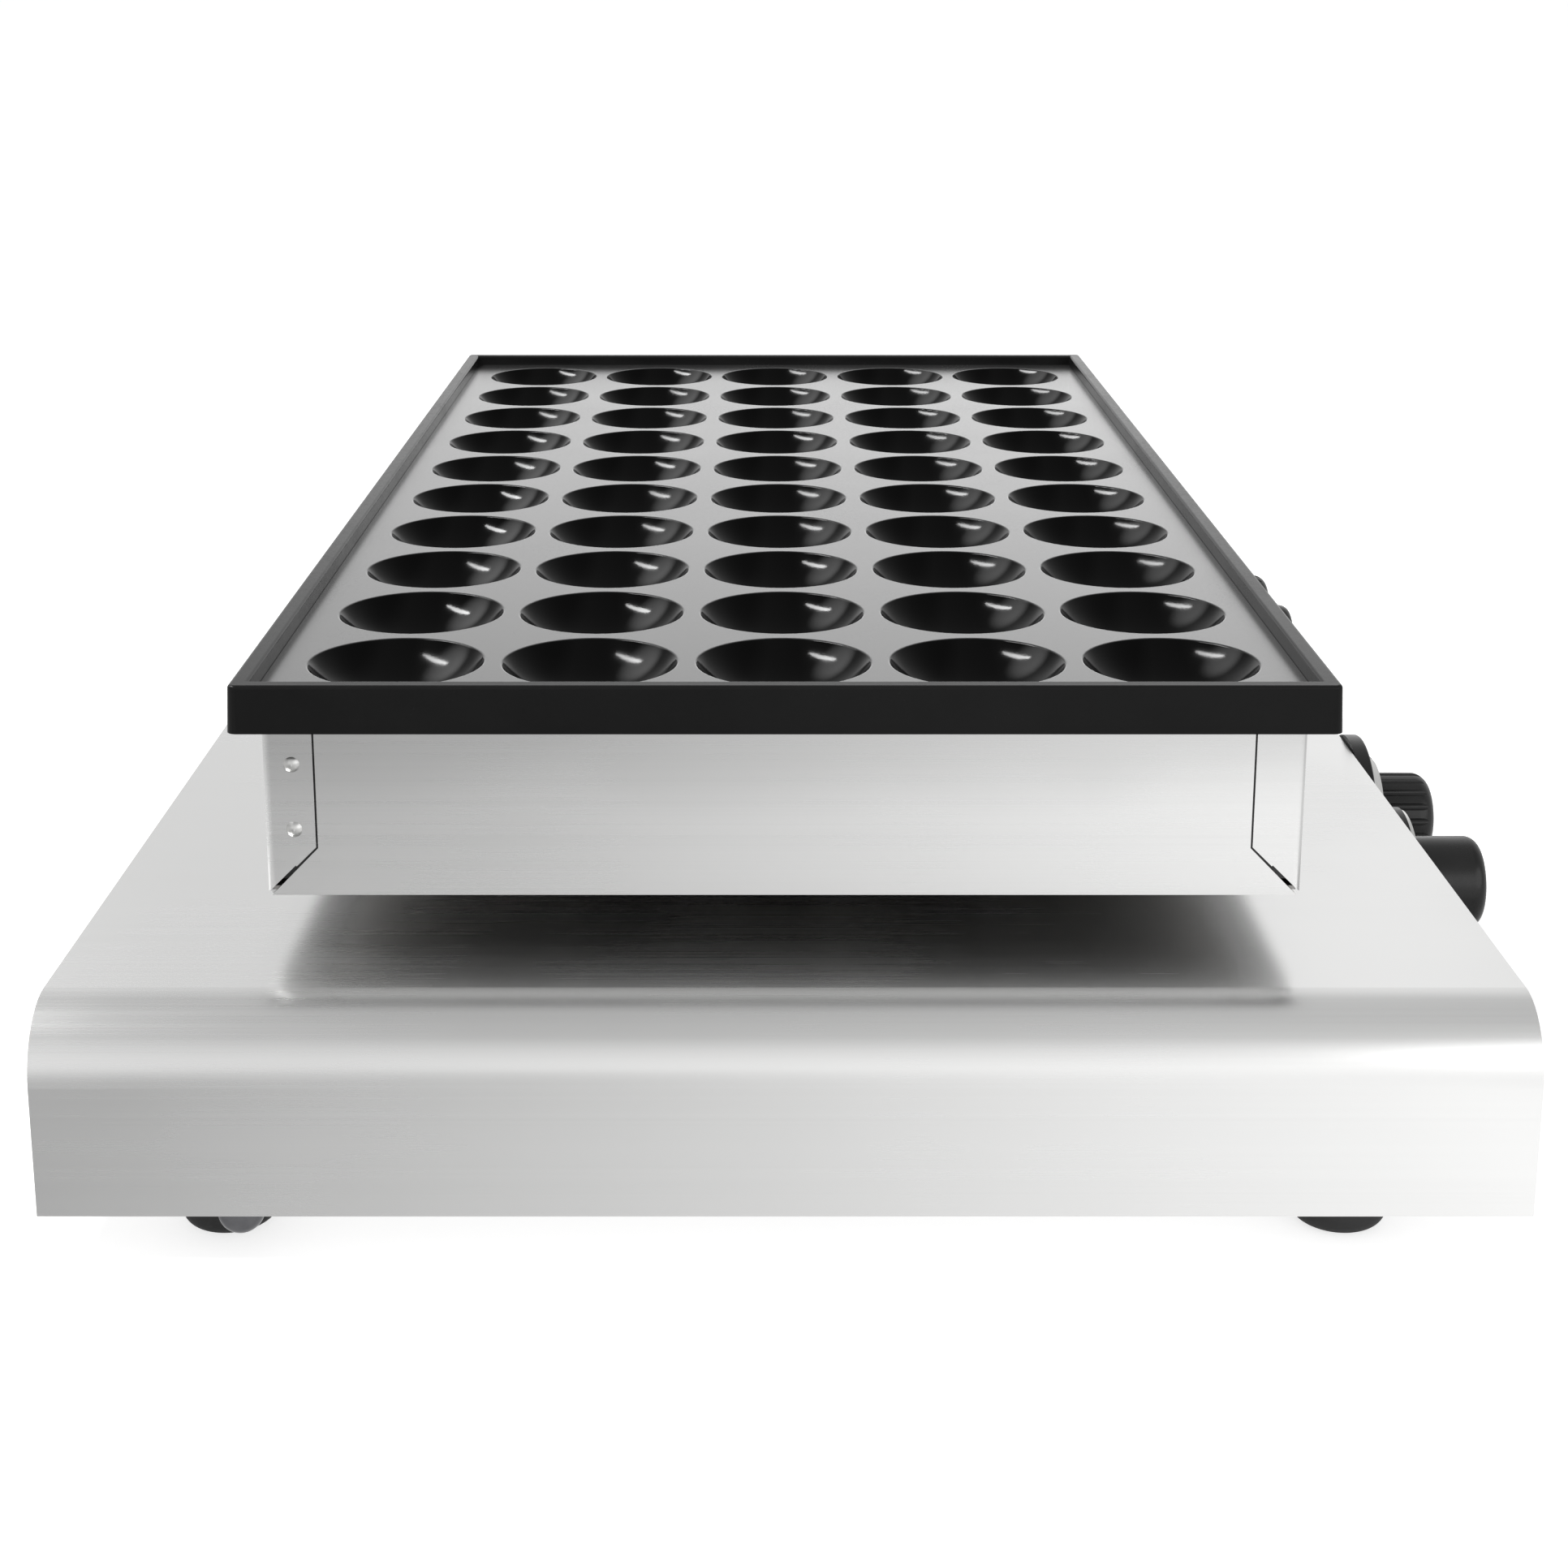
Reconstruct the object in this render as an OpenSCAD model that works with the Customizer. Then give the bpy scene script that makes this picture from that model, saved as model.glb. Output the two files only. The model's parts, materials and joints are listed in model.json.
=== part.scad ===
// Countertop poffertjes maker: a cast plate of cups on a heated sheet-metal box, above a wide base.
// Millimetres. X runs along the plate, the control panel faces -Y, Z is up from the worktop.
// Left and right are as seen by the cook, who stands at the control panel.

/* [Cups] */
// Rows of cups along the plate, an even number
cup_rows = 10; // [8:2:12]
// Cups in each row, an odd number
cup_cols = 5; // [5:2:7]
// Distance between rows, centre to centre
cup_pitch_x = 49.5; // [46:0.5:56]
// Distance between the cups of a row, centre to centre
cup_pitch_y = 49.5; // [48:0.5:58]
// Width of a cup's mouth
cup_d = 45; // [38:0.5:45]
// Depth of a cup
cup_depth = 12; // [9:0.5:14]
// Rounding of a cup's lip
cup_lip_r = 0.8; // [0.4:0.1:1]

/* [Baking plate] */
// From the last row of cups to the end of the plate
plate_edge_x = 36.25; // [34:0.25:45]
// From the outer cups of a row to the long edge of the plate
plate_edge_y = 36.5; // [34:0.25:45]
// Height of the plate's outer edge, rim included
edge_h = 12; // [10:0.5:18]
// Height of the rim above the land between the cups
rim_h = 4; // [2:0.5:6]
// Width of the rim along its top
rim_w = 4.6; // [3:0.1:5]
// How far the cast edge leans in over its height
edge_draft = 0.55; // [0.2:0.05:0.8]
// Rounding of the rim's top edges
rim_round = 0.9; // [0.4:0.1:1.2]
// Outer corner radius of the plate
plate_corner_r = 2.6; // [2.4:0.1:4]
// Metal under the deepest point of a cup
cup_floor_t = 6; // [5:0.5:10]
// Gap between the cast body under the rim and the wall of the box
body_gap = 4; // [3.5:0.5:7]

/* [Heater box] */
// How far the plate overhangs the box
overhang = 7; // [5:0.5:12]
// Height of the box below the plate's edge
box_h = 44; // [40:1:60]
// Width of the flanges that wrap round the ends of the box
wrap_w = 12.5; // [10:0.5:16]
// Outer radius of the folds in the box's sheet
fold_r = 2; // [1.6:0.1:3]
// Gap left along the folded seams
seam_gap = 0.5; // [0.3:0.1:1]
// How much wider the mitred seams are at the lower corners of the box
mitre_open = 0.4; // [0.2:0.1:1.2]
// Width of the ledge that is folded in under the box
ledge_w = 10; // [8:0.5:14]
// Length of each leg of a corner bracket
bracket_w = 26; // [22:1:34]
// Height of the box above the base
box_gap = 15; // [10:1:30]
// Diameter of the standoffs between base and box
standoff_d = 18; // [14:0.5:24]

/* [Heating] */
// Diameter of a heating element
element_d = 8; // [6.5:0.5:9]
// From the middle of the plate to the inner bend of an element
element_start = 36; // [34:1:44]
// Length of the straight legs of an element
element_leg = 178; // [150:1:180]
// Radius where an element turns down to its terminal
terminal_bend_r = 12; // [10:0.5:13]
// Width of the bar that clamps an element
clamp_w = 20; // [14:1:28]
// Thickness of the bar that clamps an element
clamp_t = 2; // [1.5:0.5:3]
// Diameter of the thermostat's sensing bulb
bulb_d = 6; // [4:0.5:7]
// Length of the thermostat's sensing bulb
bulb_l = 70; // [50:1:80]
// Diameter of the thermostat's capillary tube
capillary_d = 2; // [1.5:0.1:2.5]
// Bend radius of the capillary tube
capillary_bend_r = 9; // [7:0.5:10]

/* [Base] */
// Thickness of the stainless sheet
sheet_t = 1; // [0.8:0.1:1.2]
// How far the base reaches past the plate at each end
base_reach_x = 33.5; // [28:0.5:50]
// How far the base reaches past the plate at the front and the rear
base_reach_y = 43.5; // [36:0.5:70]
// Height of the base without its feet
base_h = 51; // [48:1:60]
// Outer radius of the bend along each end of the cover
bend_r = 18; // [8:0.5:20]
// Width of the cover's flange under each end
cover_flange_w = 36; // [34:1:46]
// Width of the flanges of the front and rear panels
panel_flange_w = 12; // [8:0.5:16]
// How far the front and rear panels stand back from the cover's edge
panel_inset = 1; // [0.5:0.1:3]
// Width of a ventilation slot
slot_w = 4; // [2.5:0.5:6]
// Length of a ventilation slot
slot_l = 22; // [14:1:26]
// Distance between ventilation slots
slot_pitch = 11; // [8:0.5:14]
// Ventilation slots in each group
slot_count = 7; // [3:2:9]

/* [Feet] */
// Height of a rubber foot
foot_h = 12; // [11:0.5:20]
// Diameter of a rubber foot
foot_d = 24; // [20:0.5:24.5]
// Rounding of a foot's lower edge
foot_edge_r = 4; // [2:0.5:6]
// From the end of the base to the middle of a foot
foot_inset_x = 23; // [22:0.5:26]
// From the front or rear of the base to the middle of a foot
foot_inset_y = 41.5; // [30:0.5:60]
// Diameter of the domed bolt head under the rear left corner
dome_d = 11.6; // [9:0.2:11.8]
// Angle at which the domed bolt stands beside the foot, from the end of the base
dome_angle = 20; // [20:1:60]

/* [Controls] */
// Height of the knobs' axes below the top of the base
knob_drop = 23.5; // [22:0.5:25]
// Left timer, from the middle of the base
timer_left_x = -142.5; // [-160:0.5:-135]
// Left thermostat, from the middle of the base
thermostat_left_x = -83.5; // [-90:0.5:-60]
// Right timer, from the middle of the base
timer_right_x = 127.5; // [110:0.5:129]
// Right thermostat, from the middle of the base
thermostat_right_x = 177; // [176:0.5:200]
// How far a timer knob stands out from the panel
timer_knob_h = 27.5; // [24:0.5:36]
// How far a thermostat knob stands out from the panel
thermostat_knob_h = 28; // [24:0.5:36]
// Diameter of a timer knob's skirt
timer_skirt_d = 44; // [36:0.5:46]
// Diameter of a timer knob's grip
timer_grip_d = 27; // [24:0.2:28]
// Rounding of a timer knob's front edge
timer_round = 4; // [1:0.5:5]
// Diameter of a thermostat knob's skirt
thermostat_skirt_d = 51; // [44:0.5:51.5]
// Diameter of a thermostat knob's grip
thermostat_grip_d = 27; // [24.5:0.5:28]
// Rounding of a thermostat knob's front edge
thermostat_round = 5.5; // [1:0.5:6]
// Flutes round a thermostat knob
flute_count = 18; // [12:1:24]
// Diameter of a control shaft
shaft_d = 6; // [4:0.5:7]
// From a timer's axis to the pilot lamp beside it
lamp_offset = 36; // [30:0.5:40]
// Diameter of a pilot lamp's lens
lamp_d = 10.4; // [8:0.2:12]

/* [Hidden] */
$fn = 96;

// Signs of the sides
left = -1;
right = 1;
front = -1;
rear = 1;
both = [-1, 1];

// Colours
steel = "#c8cacb";
dark_cast = "#1d1d1e";
bakelite = "#202021";
satin = "#a9abad";
rubber = "#19191a";
zinc = "#b4b6b4";
blackened = "#2a2a2b";
chrome = "#dcdedf";
amber = "#e0701c";

// Clearances
fit = 0.3;
thread_fit = 0.1;
shaft_fit = 0.05;
seat_gap = 0.2;
// Length by which a cut runs past the face that it opens
past = 1;

// Plan sizes, from the cups outward
cups_l = (cup_rows - 1) * cup_pitch_x;
cups_w = (cup_cols - 1) * cup_pitch_y;
plate_l = cups_l + 2 * plate_edge_x;
plate_w = cups_w + 2 * plate_edge_y;
box_l = plate_l - 2 * overhang;
box_w = plate_w - 2 * overhang;
base_l = plate_l + 2 * base_reach_x;
base_w = plate_w + 2 * base_reach_y;
inner_box_l = box_l - 2 * sheet_t;
inner_box_w = box_w - 2 * sheet_t;

// Levels, from the worktop up
base_z = foot_h;
base_top = base_z + base_h;
box_z = base_top + box_gap;
edge_z = box_z + box_h;
rim_top = edge_z + edge_h;
land_z = rim_top - rim_h;
edge_root = 0.65;
edge_lap = 0.6;
edge_w = edge_draft * (1 + rim_h / edge_h) + rim_w + edge_root;
inner_edge_w = edge_w - plate_corner_r + edge_lap;
land_l = plate_l - 2 * edge_w;
land_w = plate_w - 2 * edge_w;
body_corner_r = 6;
plate_under = land_z - cup_depth - cup_floor_t;
floor_under = box_z + sheet_t;
floor_top = floor_under + sheet_t;
bottom_plate_z = base_z + sheet_t;
bottom_plate_top = bottom_plate_z + sheet_t;
cover_under = base_top - sheet_t;

// Slots along the mitres, at the lower corners of the box
relief_w = 0.7;
relief_share = 0.6;
relief_l = relief_share * wrap_w * sqrt(2);
relief_depth = fold_r + sheet_t;

// Sphere that a cup is part of
cup_r = (pow(cup_d / 2, 2) + pow(cup_depth, 2)) / (2 * cup_depth);

// Elements and what clamps them to the underside of the plate
element_r = element_d / 2;
element_z = plate_under - seat_gap - element_r;
leg_spacing = cup_pitch_y;
cold_end_l = 4;
terminal_pin_d = 4;
terminal_pin_l = 6;
clamp_top = element_z - element_r - seat_gap;
clamp_under = clamp_top - clamp_t;
clamp_overrun = 12;

// Threaded rods that hold plate, box and base together, between cups
rod_d = 8;
rod_x = 3 * cup_pitch_x;
rod_y = cup_pitch_y;
rod_depth = 9;
rod_tail = 3;
rod_hole_d = rod_d + 2 * fit;
nut_flats = 13;
nut_h = 6.5;

// Sleeves that carry the capillaries and wires from base to box
sleeve_d = 24;
sleeve_bore = 20;
sleeve_collar_d = 32;
sleeve_collar_t = 1.5;
sleeve_tail = 6;
sleeve_head = 3;

// Rivets at the rear corners of the box
rivet_inset = 7.3;
rivet_drop = 10;
rivet_pitch = 16.8;
rivet_d = 2.4;
rivet_head_d = 4;
rivet_head_h = 0.9;
bracket_margin = 2;

// Screws of the feet and the domed bolt
foot_screw_d = 4;
foot_screw_depth = 6;
screw_head_d = 8;
screw_head_h = 2.6;
foot_x = base_l / 2 - foot_inset_x;
foot_y = base_w / 2 - foot_inset_y;
dome_gap = 0.4;
dome_reach = foot_d / 2 + dome_d / 2 + dome_gap;
dome_x = -foot_x - dome_reach * cos(dome_angle);
dome_y = foot_y - dome_reach * sin(dome_angle);
dome_rim_h = 1;
dome_shank_d = 4;
dome_nut_flats = 7;
dome_nut_h = 3.2;
dome_shank_tail = 1;

// Front panel and the controls on it
panel_face = base_w / 2 - panel_inset;
panel_back = panel_face - sheet_t;
knob_z = base_top - knob_drop;
knob_clear = 0.5;
knob_gap = panel_inset + knob_clear;
bush_d = 10;
bush_l = 6;
bush_nut_flats = 14;
bush_nut_h = 2.5;
bush_hole_d = bush_d + 2 * fit;
shaft_in = 8;
shaft_reach = 20;
shaft_bore_end = 1;
knob_recess_d = 20;
knob_recess_top = 7;
timer_skirt_top = 4.3;
timer_ring_t = 1.2;
timer_ring_inset = 0.8;
thermostat_skirt_top = 6.3;
thermostat_skirt_round = 1;
thermostat_ring_t = 4;
thermostat_ring_base = 3.8;
thermostat_ring_lean = 3.8;
ring_bore_gap = 0.2;
hub_step = 1.2;
flute_d = 2.4;
flute_out = 0.4;
flute_start = 1;
index_w = 1.6;
index_depth = 0.7;
timer_body_w = 36;
timer_body_l = 32;
thermostat_body_w = 38;
thermostat_body_h = 30;
thermostat_body_l = 28;

// Pilot lamps
lamp_collar_lip = 1.8;
lamp_collar_h = 2;
lamp_seat_h = 0.8;
lamp_dome_h = 3;
lamp_barrel_step = 0.5;
lamp_barrel_d = lamp_d - 2 * lamp_barrel_step;
lamp_barrel_l = 18;

// Cord gland on the rear panel
gland_x = 215;
gland_drop = 26;
gland_flats = 20;
gland_hex_h = 5;
gland_cap_d = 19;
gland_cap_h = 9;
gland_cap_round = 2.5;
gland_bore = 8.4;
gland_thread_d = 15.6;
gland_thread_l = 9;
gland_nut_h = 4;

// Ventilation slots
rear_slots_x = 110;
bottom_slots_x = 120;
bottom_slots_y = 60;

// Outline with a flat foot and two rounded upper corners
module arch(l, h, r) {
    translate([-l / 2, 0]) square([l, h - r]);
    translate([-l / 2 + r, 0]) square([l - 2 * r, h]);
    for (s = both) translate([s * (l / 2 - r), h - r]) circle(r);
}

// Section of a strip of sheet that is folded down at both ends
module folded_strip(l, h, r) {
    difference() {
        arch(l, h, r);
        arch(l - 2 * sheet_t, h - sheet_t, r - sheet_t);
    }
}

// Rectangle with rounded corners
module rounded_rect(l, w, r) {
    square([l - 2 * r, w], center = true);
    square([l, w - 2 * r], center = true);
    for (x = both, y = both) translate([x * (l / 2 - r), y * (w / 2 - r)]) circle(r);
}

// Sweeps a section round a rounded rectangle; the section's X points outward from the corner axes
module swept_round(l, w, r) {
    for (turn = [0, 1]) {
        along = turn == 0 ? l : w;
        across = turn == 0 ? w : l;
        for (s = [0, 180]) rotate(s + 90 * turn) {
            translate([0, across / 2 - r, 0])
                rotate([90, 0, 90]) linear_extrude(along - 2 * r, center = true) children();
            translate([along / 2 - r, across / 2 - r, 0]) rotate_extrude(angle = 90) children();
        }
    }
}

// Sweeps a section round a rectangle with mitred corners; the section's X starts a depth d inside the edge
module swept_mitred(l, w, d, top) {
    for (turn = [0, 1]) {
        along = turn == 0 ? l : w;
        across = turn == 0 ? w : l;
        for (s = [0, 180]) rotate(s + 90 * turn) intersection() {
            translate([0, across / 2 - d, 0])
                rotate([90, 0, 90]) linear_extrude(along, center = true) children();
            linear_extrude(top + past) polygon([
                [along / 2 + past, across / 2 + past],
                [-along / 2 - past, across / 2 + past],
                [d + past - along / 2, across / 2 - d - past],
                [along / 2 - d - past, across / 2 - d - past]
            ]);
        }
    }
}

// Quarter bend of a tube, from +X to +Y about the origin
module elbow(bend, r) {
    rotate_extrude(angle = 90) translate([bend, 0]) circle(r);
}

// Half bend of a tube on the +X side of the origin
module half_bend(bend, r) {
    rotate(-90) rotate_extrude(angle = 180) translate([bend, 0]) circle(r);
}

// Tube along X between two places
module bar_x(from, to, r) {
    translate([from, 0, 0]) rotate([0, 90, 0]) cylinder(r = r, h = to - from);
}

// Hexagonal nut with its bore
module hex_nut(flats, bore, h) {
    difference() {
        cylinder(d = flats / cos(30), h = h, $fn = 6);
        translate([0, 0, -past]) cylinder(d = bore, h = h + 2 * past);
    }
}

// Ring with square edges
module tube(outer, inner, h) {
    difference() {
        cylinder(d = outer, h = h);
        translate([0, 0, -past]) cylinder(d = inner, h = h + 2 * past);
    }
}

// Vertical hole through a sheet whose underside is at z
module sheet_hole(d, z) {
    translate([0, 0, z - past]) cylinder(d = d, h = sheet_t + 2 * past);
}

module at_rods() {
    for (x = both, y = both) translate([x * rod_x, y * rod_y, 0]) children();
}

module at_sleeves() {
    for (x = [thermostat_left_x, thermostat_right_x]) translate([x, 0, 0]) children();
}

module at_feet() {
    for (x = both, y = both) translate([x * foot_x, y * foot_y, 0]) children();
}

// Puts a control on the panel: its Z points out of the panel's face, its Y up
module on_panel(x) {
    translate([x, -panel_face, knob_z]) rotate([90, 0, 0]) children();
}

module at_controls() {
    for (x = [timer_left_x, thermostat_left_x, timer_right_x, thermostat_right_x])
        on_panel(x) children();
}

module at_lamps() {
    for (x = [timer_left_x, timer_right_x]) on_panel(x - lamp_offset) children();
}

// Section of the plate's edge, from edge_w inside its outer line: drafted outside, rounded on top,
// with a lean on the inner wall too
module edge_section() {
    slope = atan(edge_draft / edge_h);
    outer_top = edge_w - edge_draft;
    inner_top = outer_top - rim_w;
    round_z = rim_top - rim_round;
    outer_round_x = outer_top + edge_draft * rim_round / edge_h - rim_round / cos(slope);
    inner_round_x = inner_top - edge_draft * rim_round / edge_h + rim_round / cos(slope);
    polygon([
        [0, edge_z],
        [edge_w, edge_z],
        [outer_round_x + rim_round * cos(slope), round_z + rim_round * sin(slope)],
        [outer_round_x, rim_top],
        [inner_round_x, rim_top],
        [inner_round_x - rim_round * cos(slope), round_z + rim_round * sin(slope)],
        [inner_top - edge_draft * rim_h / edge_h, land_z],
        [0, land_z]
    ]);
    for (x = [outer_round_x, inner_round_x]) translate([x, round_z]) circle(rim_round);
}

// Outer part of that section, which turns round the plate's corners
module outer_edge_section() {
    translate([plate_corner_r - edge_w, 0]) intersection() {
        edge_section();
        translate([edge_w - plate_corner_r, edge_z - past])
            square([plate_corner_r + past, edge_h + 2 * past]);
    }
}

// Inner part of it, which is mitred at the corners and reaches into the outer part
module inner_edge_section() {
    intersection() {
        edge_section();
        translate([-past, edge_z - past])
            square([inner_edge_w + past, edge_h + 2 * past]);
    }
}

// Half section of the space in a cup, with its rounded lip, from the land at Y 0
module cup_section() {
    centre_y = cup_r - cup_depth;
    lip_x = sqrt(pow(cup_r + cup_lip_r, 2) - pow(centre_y + cup_lip_r, 2));
    lip_y = centre_y - cup_r * (centre_y + cup_lip_r) / (cup_r + cup_lip_r);
    intersection() {
        translate([0, centre_y]) circle(cup_r);
        translate([0, -cup_depth - past]) square([cup_r, cup_depth + past]);
    }
    difference() {
        translate([0, lip_y]) square([lip_x, past - lip_y]);
        translate([lip_x, -cup_lip_r]) circle(cup_lip_r);
    }
}

module baking_plate() {
    body_l = inner_box_l - 2 * body_gap;
    body_w = inner_box_w - 2 * body_gap;
    color(dark_cast) difference() {
        union() {
            swept_round(plate_l, plate_w, plate_corner_r) outer_edge_section();
            swept_mitred(land_l + 2 * inner_edge_w, land_w + 2 * inner_edge_w, inner_edge_w, rim_top)
                inner_edge_section();
            translate([0, 0, edge_z]) linear_extrude(land_z - edge_z)
                square([land_l + 2 * edge_lap, land_w + 2 * edge_lap], center = true);
            translate([0, 0, plate_under]) linear_extrude(land_z - plate_under)
                rounded_rect(body_l, body_w, body_corner_r);
        }
        for (row = [0 : cup_rows - 1], col = [0 : cup_cols - 1])
            translate([row * cup_pitch_x - cups_l / 2, col * cup_pitch_y - cups_w / 2, land_z])
                rotate_extrude() cup_section();
        at_rods() translate([0, 0, plate_under - past])
            cylinder(d = rod_d + 2 * thread_fit, h = rod_depth + past);
    }
}

// Tubular element of one half of the plate: four legs, three half bends, two terminals
module element(side) {
    end_x = element_start + element_leg;
    color(satin) mirror([side == left ? 1 : 0, 0, 0]) translate([0, 0, element_z]) {
        for (y = [-1.5, -0.5, 0.5, 1.5]) translate([0, y * leg_spacing, 0])
            bar_x(element_start, end_x, element_r);
        for (y = both) translate([end_x, y * leg_spacing, 0]) half_bend(leg_spacing / 2, element_r);
        translate([element_start, 0, 0]) mirror([1, 0, 0]) half_bend(leg_spacing / 2, element_r);
        for (y = both) translate([element_start, y * 1.5 * leg_spacing, -terminal_bend_r])
            terminal();
    }
}

// End of an element: turned down, a short cold end and its pin
module terminal() {
    mirror([1, 0, 0]) rotate([90, 0, 0]) elbow(terminal_bend_r, element_r);
    translate([-terminal_bend_r, 0, -cold_end_l]) {
        cylinder(r = element_r, h = cold_end_l);
        translate([0, 0, -terminal_pin_l]) cylinder(d = terminal_pin_d, h = terminal_pin_l);
    }
}

// Bar across the legs of an element, held up by two of the rods
module clamp_bar(side) {
    bar_l = 3 * leg_spacing + 2 * clamp_overrun;
    color(zinc) difference() {
        translate([side * rod_x, 0, clamp_under]) linear_extrude(clamp_t)
            rounded_rect(clamp_w, bar_l, clamp_w / 4);
        for (y = both) translate([side * rod_x, y * rod_y, clamp_under - past])
            cylinder(d = rod_hole_d, h = clamp_t + 2 * past);
    }
}

// Sensing bulb under the plate and its capillary, down a sleeve and forward to the thermostat
module sensor(x) {
    bulb_z = plate_under - seat_gap - bulb_d / 2;
    capillary_r = capillary_d / 2;
    bulb_end = -2 * capillary_bend_r;
    back_y = -panel_back + thermostat_body_l;
    color(satin) translate([x, 0, 0]) {
        translate([0, 0, bulb_z]) {
            bar_x(bulb_end - bulb_l, bulb_end, bulb_d / 2);
            bar_x(bulb_end, -capillary_bend_r, capillary_r);
            translate([-capillary_bend_r, 0, -capillary_bend_r])
                rotate([90, 0, 0]) elbow(capillary_bend_r, capillary_r);
        }
        translate([0, 0, knob_z + capillary_bend_r])
            cylinder(r = capillary_r, h = bulb_z - knob_z - 2 * capillary_bend_r);
        translate([0, -capillary_bend_r, knob_z + capillary_bend_r])
            rotate([0, 90, 0]) elbow(capillary_bend_r, capillary_r);
        translate([0, -capillary_bend_r, knob_z])
            rotate([90, 0, 0]) cylinder(r = capillary_r, h = -capillary_bend_r - back_y);
    }
}

// Long side of the box: folded round both ends, mitred below, with a ledge for the floor
module box_side(side) {
    ledge_l = inner_box_l - 2 * fit;
    color(steel) difference() {
        mirror([0, side == front ? 1 : 0, 0]) {
            difference() {
                translate([0, box_w / 2 - wrap_w, box_z])
                    linear_extrude(box_h) folded_strip(box_l, wrap_w, fold_r);
                for (x = both) translate([x * box_l / 2, box_w / 2, box_z]) {
                    mitre_cut();
                    corner_relief();
                }
            }
            translate([-ledge_l / 2, inner_box_w / 2 - ledge_w, box_z])
                cube([ledge_l, ledge_w, sheet_t]);
        }
        rivet_places() rivet_hole();
    }
}

// What the 45 degree mitre takes off a wrapped flange, from the lower corner of the box
module mitre_cut() {
    reach = wrap_w + past;
    rotate([90, 0, 90]) linear_extrude(2 * fold_r, center = true)
        polygon([[0, 0], [-reach, reach], [-reach, -past], [0, -past]]);
}

// Slot along the mitre that frees the fold at a lower corner of the box
module corner_relief() {
    rotate([90, 0, 90]) linear_extrude(2 * relief_depth, center = true) rotate(135)
        translate([-past, -relief_w / 2]) square([relief_l + past, relief_w]);
}

// End of the box: stands between the wrapped flanges and widens to the corners along the mitre, whose
// seam opens a little towards the corner
module box_end(side) {
    mitre_gap = seam_gap * sqrt(2);
    half_w = box_w / 2 - wrap_w - seam_gap;
    corner_w = box_w / 2 - mitre_gap;
    ledge_half = inner_box_w / 2 - ledge_w - seam_gap;
    outline = [
        [corner_w - mitre_open, 0],
        [half_w, corner_w - half_w],
        [half_w, box_h],
        [-half_w, box_h],
        [-half_w, corner_w - half_w],
        [mitre_open - corner_w, 0]
    ];
    color(steel) mirror([side == left ? 1 : 0, 0, 0]) {
        translate([inner_box_l / 2, 0, box_z])
            rotate([90, 0, 90]) linear_extrude(sheet_t) polygon(outline);
        translate([inner_box_l / 2 - ledge_w, -ledge_half, box_z])
            cube([ledge_w, 2 * ledge_half, sheet_t]);
    }
}

module box_floor() {
    color(steel) difference() {
        translate([0, 0, floor_under]) linear_extrude(sheet_t)
            square([inner_box_l - 2 * fit, inner_box_w - 2 * fit], center = true);
        at_rods() sheet_hole(rod_hole_d, floor_under);
        at_sleeves() sheet_hole(sleeve_d + 2 * fit, floor_under);
    }
}

// Angle inside a corner of the box, behind the seam
module corner_bracket(side_x, side_y) {
    bracket_h = edge_z - floor_top - 2 * bracket_margin;
    color(zinc) difference() {
        mirror([side_x == left ? 1 : 0, 0, 0]) mirror([0, side_y == front ? 1 : 0, 0])
            translate([inner_box_l / 2, inner_box_w / 2, floor_top + bracket_margin])
                rotate(180) linear_extrude(bracket_h) bracket_section();
        rivet_places() rivet_hole();
    }
}

// Section of a corner bracket, with its fold rounded to clear the fold of the box
module bracket_section() {
    difference() {
        translate([fold_r, fold_r]) circle(fold_r);
        translate([fold_r, fold_r]) circle(fold_r - sheet_t);
        translate([fold_r, -past]) square(2 * fold_r + past);
        translate([-past, fold_r]) square(2 * fold_r + past);
    }
    translate([fold_r, 0]) square([bracket_w - fold_r, sheet_t]);
    translate([0, fold_r]) square([sheet_t, bracket_w - fold_r]);
}

// The rivets' places, with Z pointing out of the end of the box
module rivet_places() {
    for (x = both, row = [0, 1])
        translate([x * box_l / 2, box_w / 2 - rivet_inset, edge_z - rivet_drop - row * rivet_pitch])
            rotate([0, 90 * x, 0]) children();
}

module rivet_hole() {
    translate([0, 0, -3 * sheet_t]) cylinder(d = rivet_d + 2 * thread_fit, h = 4 * sheet_t);
}

// Domed rivet head, from a cap of a sphere
module rivet_head() {
    cap_r = (pow(rivet_head_d / 2, 2) + pow(rivet_head_h, 2)) / (2 * rivet_head_h);
    intersection() {
        translate([0, 0, rivet_head_h - cap_r]) sphere(cap_r);
        cylinder(d = rivet_head_d, h = rivet_head_h);
    }
}

module corner_rivets() {
    color(zinc) rivet_places() {
        rivet_head();
        translate([0, 0, -2 * sheet_t]) {
            cylinder(d = rivet_d, h = 2 * sheet_t);
            mirror([0, 0, 1]) rivet_head();
        }
    }
}

module tie_rods() {
    rod_z = cover_under - nut_h - rod_tail;
    color(zinc) at_rods() translate([0, 0, rod_z])
        cylinder(d = rod_d, h = plate_under + rod_depth - seat_gap - rod_z);
}

// Nuts on the rods: under the base's cover, on the floor of the box and under the clamp bars
module tie_rod_nuts() {
    color(zinc) at_rods() for (z = [cover_under - nut_h, floor_top, clamp_under - nut_h])
        translate([0, 0, z]) hex_nut(nut_flats, rod_d + 2 * thread_fit, nut_h);
}

module standoff(side_x, side_y) {
    color(blackened) translate([side_x * rod_x, side_y * rod_y, base_top])
        tube(standoff_d, rod_hole_d, floor_under - base_top);
}

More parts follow.
